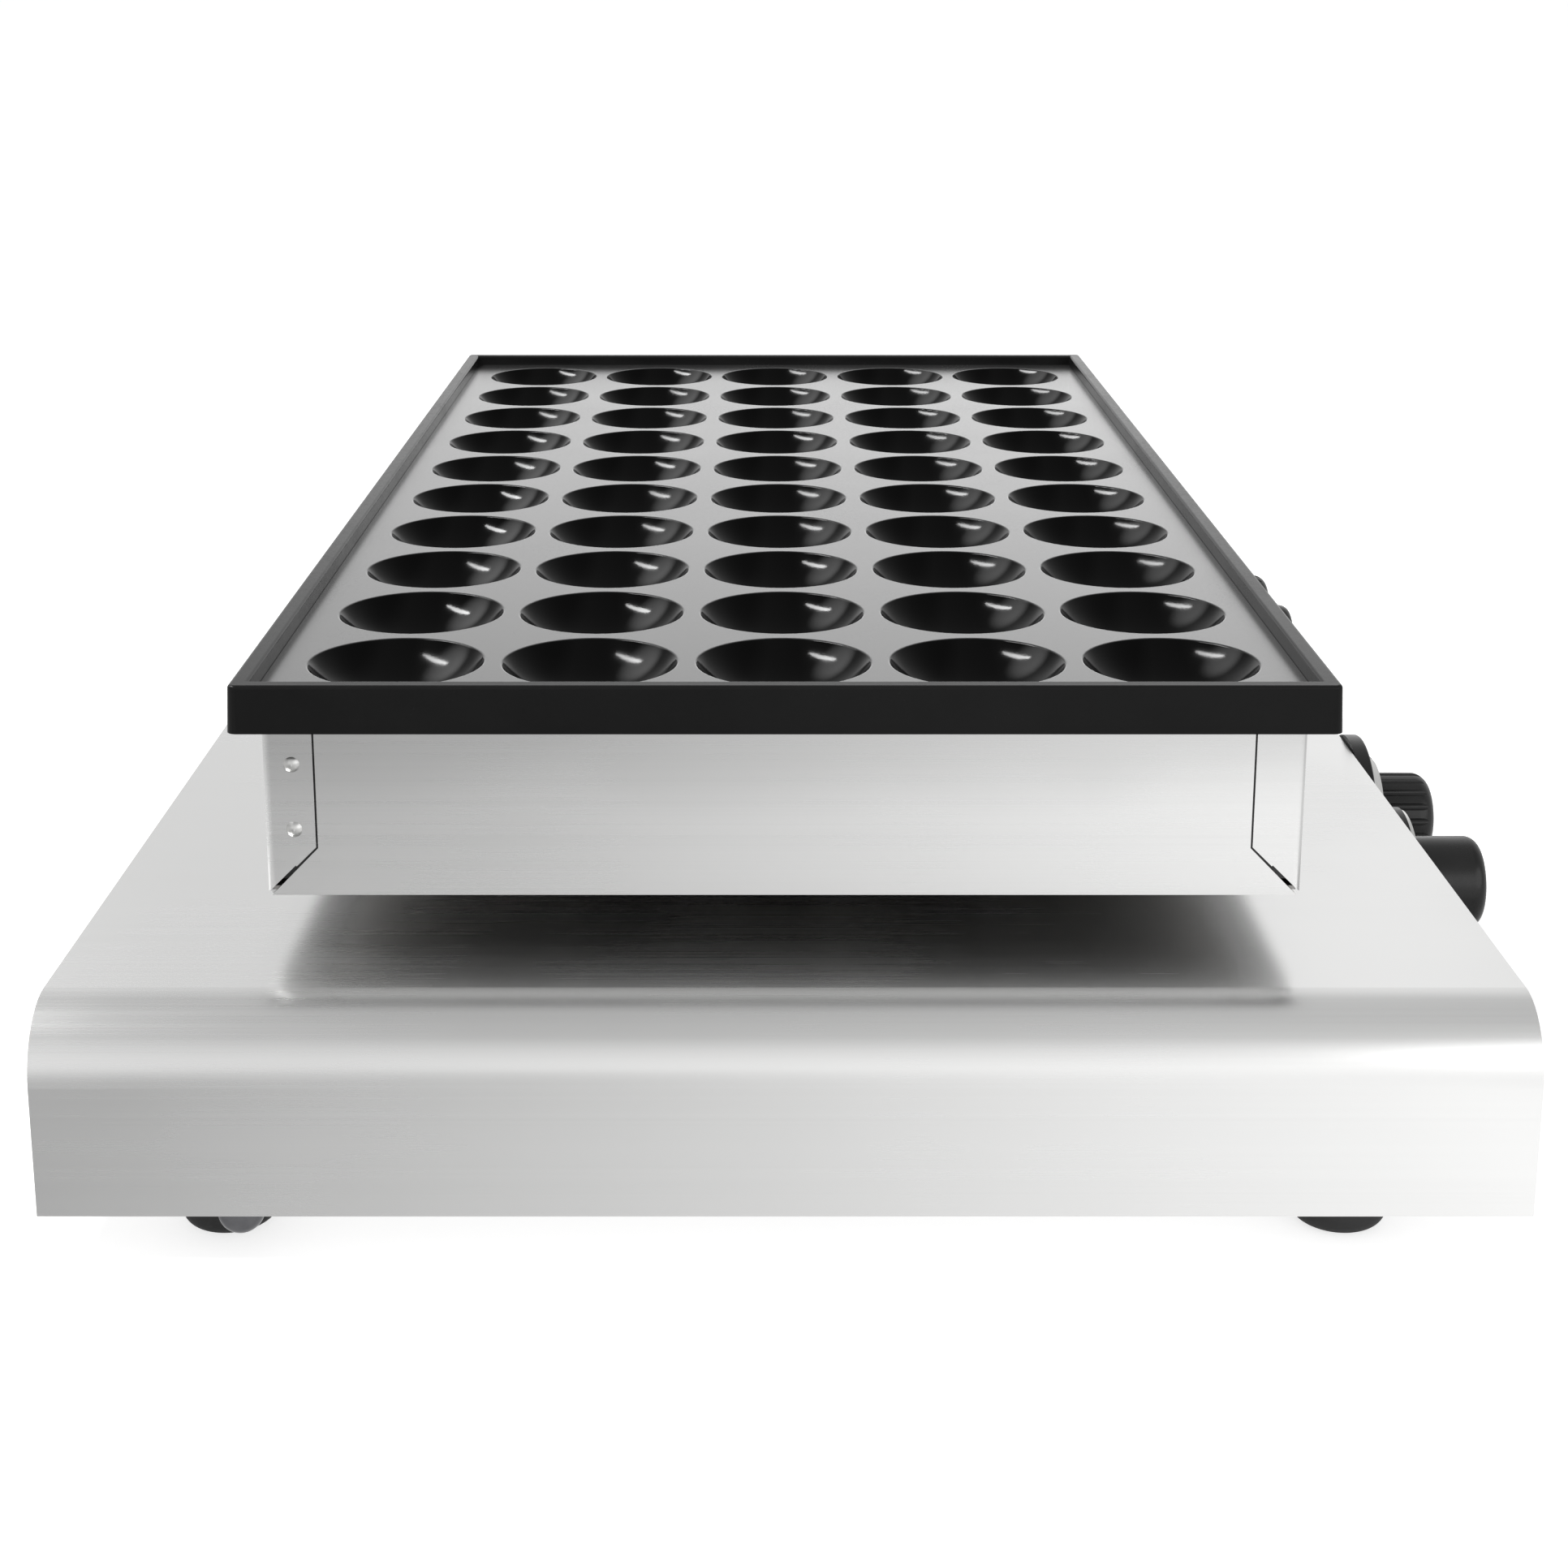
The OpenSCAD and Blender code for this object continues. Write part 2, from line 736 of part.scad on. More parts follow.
module wire_sleeve(x) {
    sleeve_z = base_top - sleeve_tail;
    color(blackened) translate([x, 0, 0]) difference() {
        union() {
            translate([0, 0, sleeve_z]) cylinder(d = sleeve_d, h = floor_top + sleeve_head - sleeve_z);
            translate([0, 0, base_top]) cylinder(d = sleeve_collar_d, h = sleeve_collar_t);
        }
        translate([0, 0, sleeve_z - past])
            cylinder(d = sleeve_bore, h = floor_top + sleeve_head - sleeve_z + 2 * past);
    }
}

// Cover of the base: top and both ends in one bent sheet, with a flange folded in under each end
module base_cover() {
    color(steel) difference() {
        translate([0, 0, base_z]) rotate([90, 0, 0]) linear_extrude(base_w, center = true) {
            folded_strip(base_l, base_h, bend_r);
            for (x = both) translate([x * (base_l - cover_flange_w) / 2, sheet_t / 2])
                square([cover_flange_w, sheet_t], center = true);
        }
        at_rods() sheet_hole(rod_hole_d, cover_under);
        at_sleeves() sheet_hole(sleeve_d + 2 * fit, cover_under);
        at_feet() sheet_hole(foot_screw_d + 2 * fit, base_z);
        translate([dome_x, dome_y, 0]) sheet_hole(dome_shank_d + 2 * fit, base_z);
    }
}

// Panel that closes the front of the base, drawn with its face at +Y; flanges above and below
module closing_panel() {
    panel_l = base_l - 2 * sheet_t - 2 * fit;
    flange_l = base_l - 2 * bend_r;
    translate([0, panel_face, bottom_plate_z]) rotate([90, 0, 0]) linear_extrude(sheet_t)
        arch(panel_l, base_h - 2 * sheet_t, bend_r - sheet_t);
    for (z = [cover_under - sheet_t, bottom_plate_top])
        translate([-flange_l / 2, panel_back - panel_flange_w, z])
            cube([flange_l, panel_flange_w, sheet_t]);
}

module front_panel() {
    color(steel) difference() {
        mirror([0, 1, 0]) closing_panel();
        at_controls() panel_hole(bush_hole_d);
        at_lamps() panel_hole(lamp_barrel_d + 2 * fit);
    }
}

// Hole through a panel, along the panel's own Z
module panel_hole(d) {
    translate([0, 0, -sheet_t - past]) cylinder(d = d, h = sheet_t + 2 * past);
}

// Upright slot with round ends, in the XY plane
module slot() {
    square([slot_w, slot_l - slot_w], center = true);
    for (y = both) translate([0, y * (slot_l - slot_w) / 2]) circle(d = slot_w);
}

module slot_row() {
    for (k = [0 : slot_count - 1]) translate([(k - (slot_count - 1) / 2) * slot_pitch, 0]) slot();
}

module on_rear_panel(x, drop) {
    translate([x, panel_face, base_top - drop]) rotate([-90, 0, 0]) children();
}

module rear_panel() {
    color(steel) difference() {
        closing_panel();
        for (x = both) on_rear_panel(x * rear_slots_x, base_h / 2)
            translate([0, 0, -sheet_t - past]) linear_extrude(sheet_t + 2 * past) slot_row();
        on_rear_panel(gland_x, gland_drop) panel_hole(gland_thread_d + 2 * fit);
    }
}

module bottom_plate() {
    color(steel) difference() {
        translate([0, 0, bottom_plate_z]) linear_extrude(sheet_t)
            square([base_l - 2 * sheet_t - 2 * fit, 2 * panel_back - 2 * fit], center = true);
        for (x = both, y = both)
            translate([x * bottom_slots_x, y * bottom_slots_y, bottom_plate_z - past])
                linear_extrude(sheet_t + 2 * past) slot_row();
        at_feet() sheet_hole(foot_screw_d + 2 * fit, bottom_plate_z);
        translate([dome_x, dome_y, 0]) sheet_hole(dome_shank_d + 2 * fit, bottom_plate_z);
    }
}

// Rubber foot: a round pad with a rounded lower edge
module foot(side_x, side_y) {
    foot_r = foot_d / 2;
    color(rubber) translate([side_x * foot_x, side_y * foot_y, 0]) difference() {
        rotate_extrude() {
            square([foot_r - foot_edge_r, foot_h]);
            translate([0, foot_edge_r]) square([foot_r, foot_h - foot_edge_r]);
            translate([foot_r - foot_edge_r, foot_edge_r]) circle(foot_edge_r);
        }
        translate([0, 0, foot_h - foot_screw_depth - past])
            cylinder(d = foot_screw_d + 2 * thread_fit, h = foot_screw_depth + 2 * past);
    }
}

module foot_screws() {
    color(zinc) at_feet() {
        translate([0, 0, bottom_plate_top]) cylinder(d = screw_head_d, h = screw_head_h);
        translate([0, 0, base_z - foot_screw_depth])
            cylinder(d = foot_screw_d, h = bottom_plate_top - base_z + foot_screw_depth);
    }
}

// Bolt with a polished dome for a head, under the rear left corner of the base
module dome_bolt() {
    shank_l = 2 * sheet_t + dome_nut_h + dome_shank_tail;
    color(chrome) translate([dome_x, dome_y, base_z]) {
        translate([0, 0, -dome_rim_h]) {
            cylinder(d = dome_d, h = dome_rim_h);
            intersection() {
                sphere(d = dome_d);
                mirror([0, 0, 1]) cylinder(d = dome_d + past, h = dome_d);
            }
        }
        cylinder(d = dome_shank_d, h = shank_l);
    }
}

module dome_bolt_nut() {
    color(zinc) translate([dome_x, dome_y, bottom_plate_top])
        hex_nut(dome_nut_flats, dome_shank_d + 2 * thread_fit, dome_nut_h);
}

// What is hollow in every knob: a recess for the bush and its nut, and the bore for the shaft
module knob_hollow() {
    cylinder(d = knob_recess_d, h = knob_recess_top);
    cylinder(d = shaft_d + 2 * shaft_fit, h = shaft_reach + shaft_bore_end);
}

// Half section of a round grip with a rounded front edge, from y up to h
module grip_section(r, y, h, front_round) {
    translate([0, y]) square([r, h - y - front_round]);
    translate([0, y]) square([r - front_round, h - y]);
    translate([r - front_round, h - front_round]) circle(front_round);
}

// Groove in the front of a grip, from its middle up to its edge
module index_groove(r, h) {
    translate([-index_w / 2, 0, h - index_depth]) cube([index_w, r + past, index_depth + past]);
}

// Timer knob: a thin round skirt and a smooth grip
module timer_knob(x) {
    color(bakelite) on_panel(x) difference() {
        rotate_extrude() {
            translate([0, knob_gap]) square([timer_skirt_d / 2, timer_skirt_top - knob_gap]);
            translate([0, knob_gap])
                square([timer_grip_d / 2 + hub_step, timer_skirt_top + timer_ring_t - knob_gap]);
            grip_section(timer_grip_d / 2, timer_skirt_top, timer_knob_h, timer_round);
        }
        knob_hollow();
        index_groove(timer_grip_d / 2, timer_knob_h);
    }
}

module timer_ring(x) {
    color(satin) on_panel(x) translate([0, 0, timer_skirt_top])
        tube(timer_skirt_d - 2 * timer_ring_inset,
             timer_grip_d + 2 * hub_step + 2 * ring_bore_gap, timer_ring_t);
}

// Thermostat knob: a thick skirt with a rounded edge and a fluted grip
module thermostat_knob(x) {
    flute_z = thermostat_skirt_top + thermostat_ring_t + flute_start;
    flute_ring_r = thermostat_grip_d / 2 + flute_out;
    color(bakelite) on_panel(x) difference() {
        rotate_extrude() {
            thermostat_skirt_section();
            translate([0, knob_gap])
                square([thermostat_grip_d / 2 + hub_step,
                        thermostat_skirt_top + thermostat_ring_t - knob_gap]);
            grip_section(thermostat_grip_d / 2, thermostat_skirt_top, thermostat_knob_h,
                         thermostat_round);
        }
        for (k = [0 : flute_count - 1]) rotate((k + 0.5) * 360 / flute_count)
            translate([flute_ring_r, 0, flute_z])
                cylinder(d = flute_d, h = thermostat_knob_h - flute_z + past);
        knob_hollow();
        index_groove(thermostat_grip_d / 2, thermostat_knob_h);
    }
}

module thermostat_skirt_section() {
    r = thermostat_skirt_d / 2;
    straight_top = thermostat_skirt_top - thermostat_skirt_round;
    translate([0, knob_gap]) square([r, straight_top - knob_gap]);
    translate([0, knob_gap]) square([r - thermostat_skirt_round, thermostat_skirt_top - knob_gap]);
    translate([r - thermostat_skirt_round, straight_top]) circle(thermostat_skirt_round);
}

// Sloping trim ring between the skirt and the grip of a thermostat knob
module thermostat_ring(x) {
    inner_r = thermostat_grip_d / 2 + hub_step + ring_bore_gap;
    outer_r = thermostat_skirt_d / 2 - thermostat_ring_base;
    color(satin) on_panel(x) translate([0, 0, thermostat_skirt_top]) rotate_extrude() polygon([
        [inner_r, 0],
        [outer_r, 0],
        [outer_r - thermostat_ring_lean, thermostat_ring_t],
        [inner_r, thermostat_ring_t]
    ]);
}

module control_shaft(x) {
    color(zinc) on_panel(x) translate([0, 0, -shaft_in])
        cylinder(d = shaft_d, h = shaft_in + shaft_reach);
}

// Body of a control behind the panel, with the threaded bush that its shaft turns in
module control_body(w, h, l) {
    difference() {
        union() {
            translate([-w / 2, -h / 2, -sheet_t - l]) cube([w, h, l]);
            translate([0, 0, -sheet_t - past]) cylinder(d = bush_d, h = sheet_t + past + bush_l);
        }
        translate([0, 0, -shaft_in - past])
            cylinder(d = shaft_d + 2 * shaft_fit, h = shaft_in + bush_l + 2 * past);
    }
}

module timer(x) {
    color(zinc) on_panel(x) control_body(timer_body_w, timer_body_w, timer_body_l);
}

module thermostat(x) {
    color(zinc) on_panel(x)
        control_body(thermostat_body_w, thermostat_body_h, thermostat_body_l);
}

module bush_nuts() {
    color(zinc) at_controls() hex_nut(bush_nut_flats, bush_d + 2 * thread_fit, bush_nut_h);
}

// Domed lens of a pilot lamp, seated in the lamp's collar
module lamp_lens(x) {
    dome_r = (pow(lamp_d / 2, 2) + pow(lamp_dome_h, 2)) / (2 * lamp_dome_h);
    color(amber) on_panel(x - lamp_offset) {
        translate([0, 0, lamp_seat_h]) cylinder(d = lamp_d, h = lamp_collar_h - lamp_seat_h);
        translate([0, 0, lamp_collar_h]) intersection() {
            translate([0, 0, lamp_dome_h - dome_r]) sphere(dome_r);
            cylinder(d = lamp_d, h = lamp_dome_h);
        }
    }
}

module lamp_body(x) {
    color(bakelite) on_panel(x - lamp_offset) difference() {
        union() {
            cylinder(d = lamp_d + 2 * lamp_collar_lip, h = lamp_collar_h);
            translate([0, 0, -lamp_barrel_l]) cylinder(d = lamp_barrel_d, h = lamp_barrel_l + past);
        }
        translate([0, 0, lamp_seat_h])
            cylinder(d = lamp_d + 2 * thread_fit, h = lamp_collar_h);
    }
}

// Cord gland on the rear panel: hexagon, domed cap and the thread that goes through the panel
module cord_gland() {
    color(bakelite) on_rear_panel(gland_x, gland_drop) difference() {
        union() {
            cylinder(d = gland_flats / cos(30), h = gland_hex_h, $fn = 6);
            translate([0, 0, gland_hex_h]) rotate_extrude() gland_cap_section();
            translate([0, 0, -gland_thread_l]) cylinder(d = gland_thread_d, h = gland_thread_l + past);
        }
        translate([0, 0, -gland_thread_l - past])
            cylinder(d = gland_bore, h = gland_thread_l + gland_hex_h + gland_cap_h + 2 * past);
    }
}

module gland_cap_section() {
    r = gland_cap_d / 2;
    square([r, gland_cap_h - gland_cap_round]);
    square([r - gland_cap_round, gland_cap_h]);
    translate([r - gland_cap_round, gland_cap_h - gland_cap_round]) circle(gland_cap_round);
}

module gland_nut() {
    color(bakelite) on_rear_panel(gland_x, gland_drop) translate([0, 0, -sheet_t - gland_nut_h])
        hex_nut(gland_flats, gland_thread_d + 2 * thread_fit, gland_nut_h);
}

baking_plate();
element(left);  // element_left
element(right);  // element_right
clamp_bar(left);  // clamp_bar_left
clamp_bar(right);  // clamp_bar_right
sensor(thermostat_left_x);  // sensor_left
sensor(thermostat_right_x);  // sensor_right
box_side(front);  // box_side_front
box_side(rear);  // box_side_rear
box_end(left);  // box_end_left
box_end(right);  // box_end_right
box_floor();
corner_bracket(left, front);  // corner_bracket_front_left
corner_bracket(right, front);  // corner_bracket_front_right
corner_bracket(left, rear);  // corner_bracket_rear_left
corner_bracket(right, rear);  // corner_bracket_rear_right
corner_rivets();
tie_rods();
tie_rod_nuts();
standoff(left, front);  // standoff_front_left
standoff(right, front);  // standoff_front_right
standoff(left, rear);  // standoff_rear_left
standoff(right, rear);  // standoff_rear_right
wire_sleeve(thermostat_left_x);  // wire_sleeve_left
wire_sleeve(thermostat_right_x);  // wire_sleeve_right
base_cover();
front_panel();
rear_panel();
bottom_plate();
foot(left, front);  // foot_front_left
foot(right, front);  // foot_front_right
foot(left, rear);  // foot_rear_left
foot(right, rear);  // foot_rear_right
foot_screws();
dome_bolt();
dome_bolt_nut();
timer_knob(timer_left_x);  // timer_knob_left
timer_knob(timer_right_x);  // timer_knob_right
thermostat_knob(thermostat_left_x);  // thermostat_knob_left
thermostat_knob(thermostat_right_x);  // thermostat_knob_right
timer_ring(timer_left_x);  // timer_ring_left
timer_ring(timer_right_x);  // timer_ring_right
thermostat_ring(thermostat_left_x);  // thermostat_ring_left
thermostat_ring(thermostat_right_x);  // thermostat_ring_right
control_shaft(timer_left_x);  // timer_shaft_left
control_shaft(timer_right_x);  // timer_shaft_right
control_shaft(thermostat_left_x);  // thermostat_shaft_left
control_shaft(thermostat_right_x);  // thermostat_shaft_right
timer(timer_left_x);  // timer_left
timer(timer_right_x);  // timer_right
thermostat(thermostat_left_x);  // thermostat_left
thermostat(thermostat_right_x);  // thermostat_right
bush_nuts();
lamp_lens(timer_left_x);  // lamp_lens_left
lamp_lens(timer_right_x);  // lamp_lens_right
lamp_body(timer_left_x);  // lamp_body_left
lamp_body(timer_right_x);  // lamp_body_right
cord_gland();
gland_nut();
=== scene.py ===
"""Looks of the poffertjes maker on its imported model: materials, dial print, studio light and camera."""
import json
import math

import bmesh
import bpy
from mathutils import Matrix, Vector


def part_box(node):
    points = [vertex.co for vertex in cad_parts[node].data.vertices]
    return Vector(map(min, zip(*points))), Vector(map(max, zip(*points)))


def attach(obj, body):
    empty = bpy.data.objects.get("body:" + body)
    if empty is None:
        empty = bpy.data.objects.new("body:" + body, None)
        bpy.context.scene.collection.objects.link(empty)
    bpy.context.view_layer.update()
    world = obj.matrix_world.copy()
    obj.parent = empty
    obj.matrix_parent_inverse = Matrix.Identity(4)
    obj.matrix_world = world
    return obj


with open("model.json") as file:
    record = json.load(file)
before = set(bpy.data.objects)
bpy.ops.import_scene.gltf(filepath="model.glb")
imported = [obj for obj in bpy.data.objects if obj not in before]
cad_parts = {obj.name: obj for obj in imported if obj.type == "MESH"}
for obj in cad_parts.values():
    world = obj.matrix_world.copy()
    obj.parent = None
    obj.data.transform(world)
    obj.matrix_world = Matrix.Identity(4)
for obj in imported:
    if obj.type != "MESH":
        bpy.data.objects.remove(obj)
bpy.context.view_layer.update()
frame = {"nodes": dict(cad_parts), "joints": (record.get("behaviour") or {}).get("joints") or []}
nodes = frame["nodes"]
scene = bpy.context.scene

MM = 0.001
ROOT = "cooker"

# Counts of cups, and sizes in millimetres, that repeat the part's
CUPS_ALONG_X = 10
CUPS_ALONG_Y = 5
CUP_PITCH = 49.5
CUP_RADIUS = 22.5
CUP_DEPTH = 12.0
LAND_HEIGHT = 130.0
INDEX_DEPTH = 0.7
RING_LEAN = 3.8
RING_HEIGHT = 4.0

# Camera of the photograph: metres, degrees and millimetres of lens
CAMERA_PLACE = (-0.835, 0.00574, 0.30485)
CAMERA_PITCH = 13.348
CAMERA_LENS = 57.16
CAMERA_SHIFT = (0.01454, -0.15)
CAMERA_SENSOR = 36.0
CAMERA_REACH = 200.0


# Node helpers

# Most noise lies between these two values, so its ramps run from one to the other
NOISE_LOW = 0.3
NOISE_HIGH = 0.7


def new_material(name):
    """A material with one Principled shader; returns the material, its tree and the shader."""
    material = bpy.data.materials.new(name)
    material.use_nodes = True
    tree = material.node_tree
    tree.nodes.clear()
    output = tree.nodes.new("ShaderNodeOutputMaterial")
    shader = tree.nodes.new("ShaderNodeBsdfPrincipled")
    tree.links.new(shader.outputs["BSDF"], output.inputs["Surface"])
    return material, tree, shader


def feed(tree, value, socket):
    """Links an output to a socket, or sets the socket where the value isn't an output."""
    if isinstance(value, bpy.types.NodeSocket):
        tree.links.new(value, socket)
    else:
        socket.default_value = value


def dress(tree, shader, colour, roughness, normal=None):
    """Gives a shader its colour and roughness, and a bumped normal if there is one."""
    tree.links.new(colour, shader.inputs["Base Color"])
    tree.links.new(roughness, shader.inputs["Roughness"])
    if normal is not None:
        tree.links.new(normal, shader.inputs["Normal"])


def object_place(tree, scale=(1.0, 1.0, 1.0)):
    """Place on the object in metres, scaled."""
    coordinates = tree.nodes.new("ShaderNodeTexCoord")
    mapping = tree.nodes.new("ShaderNodeMapping")
    mapping.inputs["Scale"].default_value = scale
    tree.links.new(coordinates.outputs["Object"], mapping.inputs["Vector"])
    return mapping.outputs["Vector"]


def surface_normal(tree):
    """The normal of the surface, before any bump."""
    return tree.nodes.new("ShaderNodeNewGeometry").outputs["Normal"]


def parts_of(tree, vector):
    """The three parts of a vector, which go by the names X, Y and Z."""
    node = tree.nodes.new("ShaderNodeSeparateXYZ")
    tree.links.new(vector, node.inputs["Vector"])
    return node.outputs


def noise(tree, place, scale, detail=3.0, roughness=0.55):
    """Noise value around 0.5 at a place."""
    node = tree.nodes.new("ShaderNodeTexNoise")
    node.inputs["Scale"].default_value = scale
    node.inputs["Detail"].default_value = detail
    node.inputs["Roughness"].default_value = roughness
    tree.links.new(place, node.inputs["Vector"])
    return node.outputs["Fac"]


def spread(tree, value, low, high, start=NOISE_LOW, end=NOISE_HIGH, smooth=True):
    """Maps a value from start..end to low..high, smoothly or in proportion."""
    node = tree.nodes.new("ShaderNodeMapRange")
    node.interpolation_type = "SMOOTHSTEP" if smooth else "LINEAR"
    node.inputs["From Min"].default_value = start
    node.inputs["From Max"].default_value = end
    node.inputs["To Min"].default_value = low
    node.inputs["To Max"].default_value = high
    tree.links.new(value, node.inputs["Value"])
    return node.outputs["Result"]


def math_step(tree, operation, first, second=0.0):
    """One step of math on outputs or numbers."""
    node = tree.nodes.new("ShaderNodeMath")
    node.operation = operation
    feed(tree, first, node.inputs[0])
    feed(tree, second, node.inputs[1])
    return node.outputs["Value"]


def sum_of(tree, first, second):
    """Adds two values, each an output or a number."""
    return math_step(tree, "ADD", first, second)


def difference_of(tree, first, second):
    """Takes the second value from the first, each an output or a number."""
    return math_step(tree, "SUBTRACT", first, second)


def product_of(tree, first, second):
    """Multiplies two values, each an output or a number."""
    return math_step(tree, "MULTIPLY", first, second)


def distance_of(tree, first, second):
    """Length of a step whose two parts are at right angles."""
    squares = sum_of(tree, product_of(tree, first, first), product_of(tree, second, second))
    return math_step(tree, "SQRT", squares)


def vector_step(tree, operation, first, second):
    """One step of vector math on outputs or plain vectors; a dot product comes out as a value."""
    node = tree.nodes.new("ShaderNodeVectorMath")
    node.operation = operation
    feed(tree, first, node.inputs[0])
    feed(tree, second, node.inputs[1])
    return node.outputs["Value" if operation == "DOT_PRODUCT" else "Vector"]


def mix_of(tree, factor, first, second, kind="FLOAT"):
    """The first where the factor is 0 and the second where it is 1; the kind says what is mixed."""
    node = tree.nodes.new("ShaderNodeMix")
    node.data_type = kind
    feed(tree, factor, node.inputs["Factor"])
    feed(tree, first, node.inputs["A"])
    feed(tree, second, node.inputs["B"])
    return node.outputs["Result"]


def grey(level):
    """The same level in all three channels."""
    return (level, level, level)


def scaled(colour, factor):
    """A colour made lighter or darker."""
    return tuple(min(1.0, channel * factor) for channel in colour)


def shades(tree, value, *stops):
    """Colour ramp over stops of (place, colour)."""
    node = tree.nodes.new("ShaderNodeValToRGB")
    ramp = node.color_ramp
    while len(ramp.elements) < len(stops):
        ramp.elements.new(0.5)
    for element, (place, colour) in zip(ramp.elements, stops):
        element.position = place
        element.color = (*colour, 1.0)
    tree.links.new(value, node.inputs["Fac"])
    return node.outputs["Color"]


def two_tone(tree, value, first, second):
    """Colour ramp over noise, from a first to a second colour."""
    return shades(tree, value, (NOISE_LOW, first), (NOISE_HIGH, second))


def bands(tree, value, levels):
    """Grey ramp over pairs of (place, level)."""
    return shades(tree, value, *((place, grey(level)) for place, level in levels))


def bump(tree, height, strength, depth, below=None):
    """Bump of a height value; depth is in metres."""
    node = tree.nodes.new("ShaderNodeBump")
    node.inputs["Strength"].default_value = strength
    node.inputs["Distance"].default_value = depth
    tree.links.new(height, node.inputs["Height"])
    if below is not None:
        tree.links.new(below, node.inputs["Normal"])
    return node.outputs["Normal"]


# Materials

# Grain of brushed sheet: lines per metre, scale of the wider streaks, share of the fine grain, metres deep
GRAIN_ACROSS = 1500.0
GRAIN_ALONG = 1.5
STREAK_SCALE = 0.22
GRAIN_SHARE = 0.55
GRAIN_DEPTH = 0.00006

# Where the ends of the box start, in millimetres from the middle
BOX_END_X = 250.4

# Painted shade at the top of the box's ends, under the plate: heights in metres, strength at the top, and
# its shares of the sheet's colour
END_SHADE_FROM = 0.098
END_SHADE_TO = 0.119
END_SHADE_WANDER = 0.004
END_SHADE_STRENGTH = 0.26
END_SHADE_SHARES = (0.3, 0.36)

# Painted shade on faces that look down: heights of their normals, fully and not yet, and shares of the
# sheet's colour
DOWN_FULLY = -0.9
DOWN_NOT_YET = -0.6
UNDERSIDE_SHADE_SHARES = (0.3, 0.38)

# Nudges of the normal and axes for the direction of the grain
LYING_NUDGE = (0.012, 0.0, 0.017)
UPRIGHT_NUDGE = (0.012, 0.017, 0.0)
ALONG_Y = (0.0, 1.0, 0.0)
ALONG_Z = (0.0, 0.0, 1.0)


def box_shade(tree, sheet_colour, colour, clouds):
    """Painted shade: darkens the ends of the box towards the plate, and the ledges under it."""
    place = parts_of(tree, object_place(tree))
    height = sum_of(tree, place["Z"], spread(tree, clouds, -END_SHADE_WANDER, END_SHADE_WANDER))
    upper = spread(tree, height, 0.0, END_SHADE_STRENGTH, END_SHADE_FROM, END_SHADE_TO)
    at_end = math_step(tree, "GREATER_THAN", math_step(tree, "ABSOLUTE", place["X"]), BOX_END_X * MM)
    # Painted shade: the top of the box's ends darkens towards the plate above
    tint = two_tone(tree, clouds, *(scaled(colour, share) for share in END_SHADE_SHARES))
    shaded_ends = mix_of(tree, product_of(tree, upper, at_end), sheet_colour, tint, "RGBA")
    facing = parts_of(tree, surface_normal(tree))
    downward = spread(tree, facing["Z"], 1.0, 0.0, DOWN_FULLY, DOWN_NOT_YET)
    # Painted shade on the faces that look down, the ledges under the box
    underside_shade = two_tone(tree, clouds, *(scaled(colour, share) for share in UNDERSIDE_SHADE_SHARES))
    return mix_of(tree, downward, shaded_ends, underside_shade, "RGBA")


def grain_tangent(tree, lying):
    """Tangent for stretched reflections: it lies in the sheet and runs across the grain.

    A slight nudge of the normal keeps it defined on faces that look along Y or Z.
    """
    tilted = vector_step(tree, "ADD", surface_normal(tree), LYING_NUDGE if lying else UPRIGHT_NUDGE)
    if lying:
        return vector_step(tree, "CROSS_PRODUCT", tilted, ALONG_Y)
    level = vector_step(tree, "CROSS_PRODUCT", tilted, ALONG_Z)
    return vector_step(tree, "CROSS_PRODUCT", tilted, level)


def brushed_steel(name, lying, colour=(0.73, 0.73, 0.725), roughness=0.27, stretch=0.55, shaded=False):
    """Stainless sheet with a fine grain, wider streaks and broad cloudiness.

    A sheet that lies down has its grain along Y, and carries it over its bends.
    An upright one has it level.
    A shaded one is the heater box's: painted shade darkens it at its ends towards the plate, and where it
    looks down.
    """
    material, tree, shader = new_material(name)
    grooves = (GRAIN_ACROSS if lying else GRAIN_ALONG, GRAIN_ALONG, GRAIN_ACROSS)
    wide = tuple(size * STREAK_SCALE for size in grooves)
    grain = noise(tree, object_place(tree, grooves), scale=1.0, detail=4.0, roughness=0.6)
    streaks = noise(tree, object_place(tree, wide), scale=1.0, detail=2.0)
    clouds = noise(tree, object_place(tree), scale=11.0)
    mixed = sum_of(tree, product_of(tree, grain, GRAIN_SHARE), product_of(tree, streaks, 1.0 - GRAIN_SHARE))
    tone = shades(tree, mixed, (0.34, scaled(colour, 0.96)), (0.5, colour), (0.66, scaled(colour, 1.03)))
    soft = two_tone(tree, clouds, scaled(colour, 0.97), scaled(colour, 1.02))
    sheet_colour = mix_of(tree, 0.5, tone, soft, "RGBA")
    if shaded:
        sheet_colour = box_shade(tree, sheet_colour, colour, clouds)
    rough = sum_of(tree, spread(tree, mixed, roughness - 0.015, roughness + 0.015),
                   spread(tree, clouds, low=-0.015, high=0.02))
    dress(tree, shader, sheet_colour, rough, bump(tree, mixed, strength=0.015, depth=GRAIN_DEPTH))
    shader.inputs["Metallic"].default_value = 1.0
    shader.inputs["Anisotropic"].default_value = stretch
    tree.links.new(grain_tangent(tree, lying), shader.inputs["Tangent"])
    return material


# Where the finish of the rim starts, in millimetres from the plate's middle
RIM_FROM_X = 253.5
RIM_FROM_Y = 130.0

# Half the width of the change at a cup's mouth, in millimetres
CUP_EDGE = 0.2

# Radius just inside a cup's lip, where the shading as a sphere stops, in millimetres
CUP_LIP_FROM = 22.2

# How far a point may be from a cup's sphere to be shaded as part of it, in millimetres
SPHERE_STRAY = 0.3


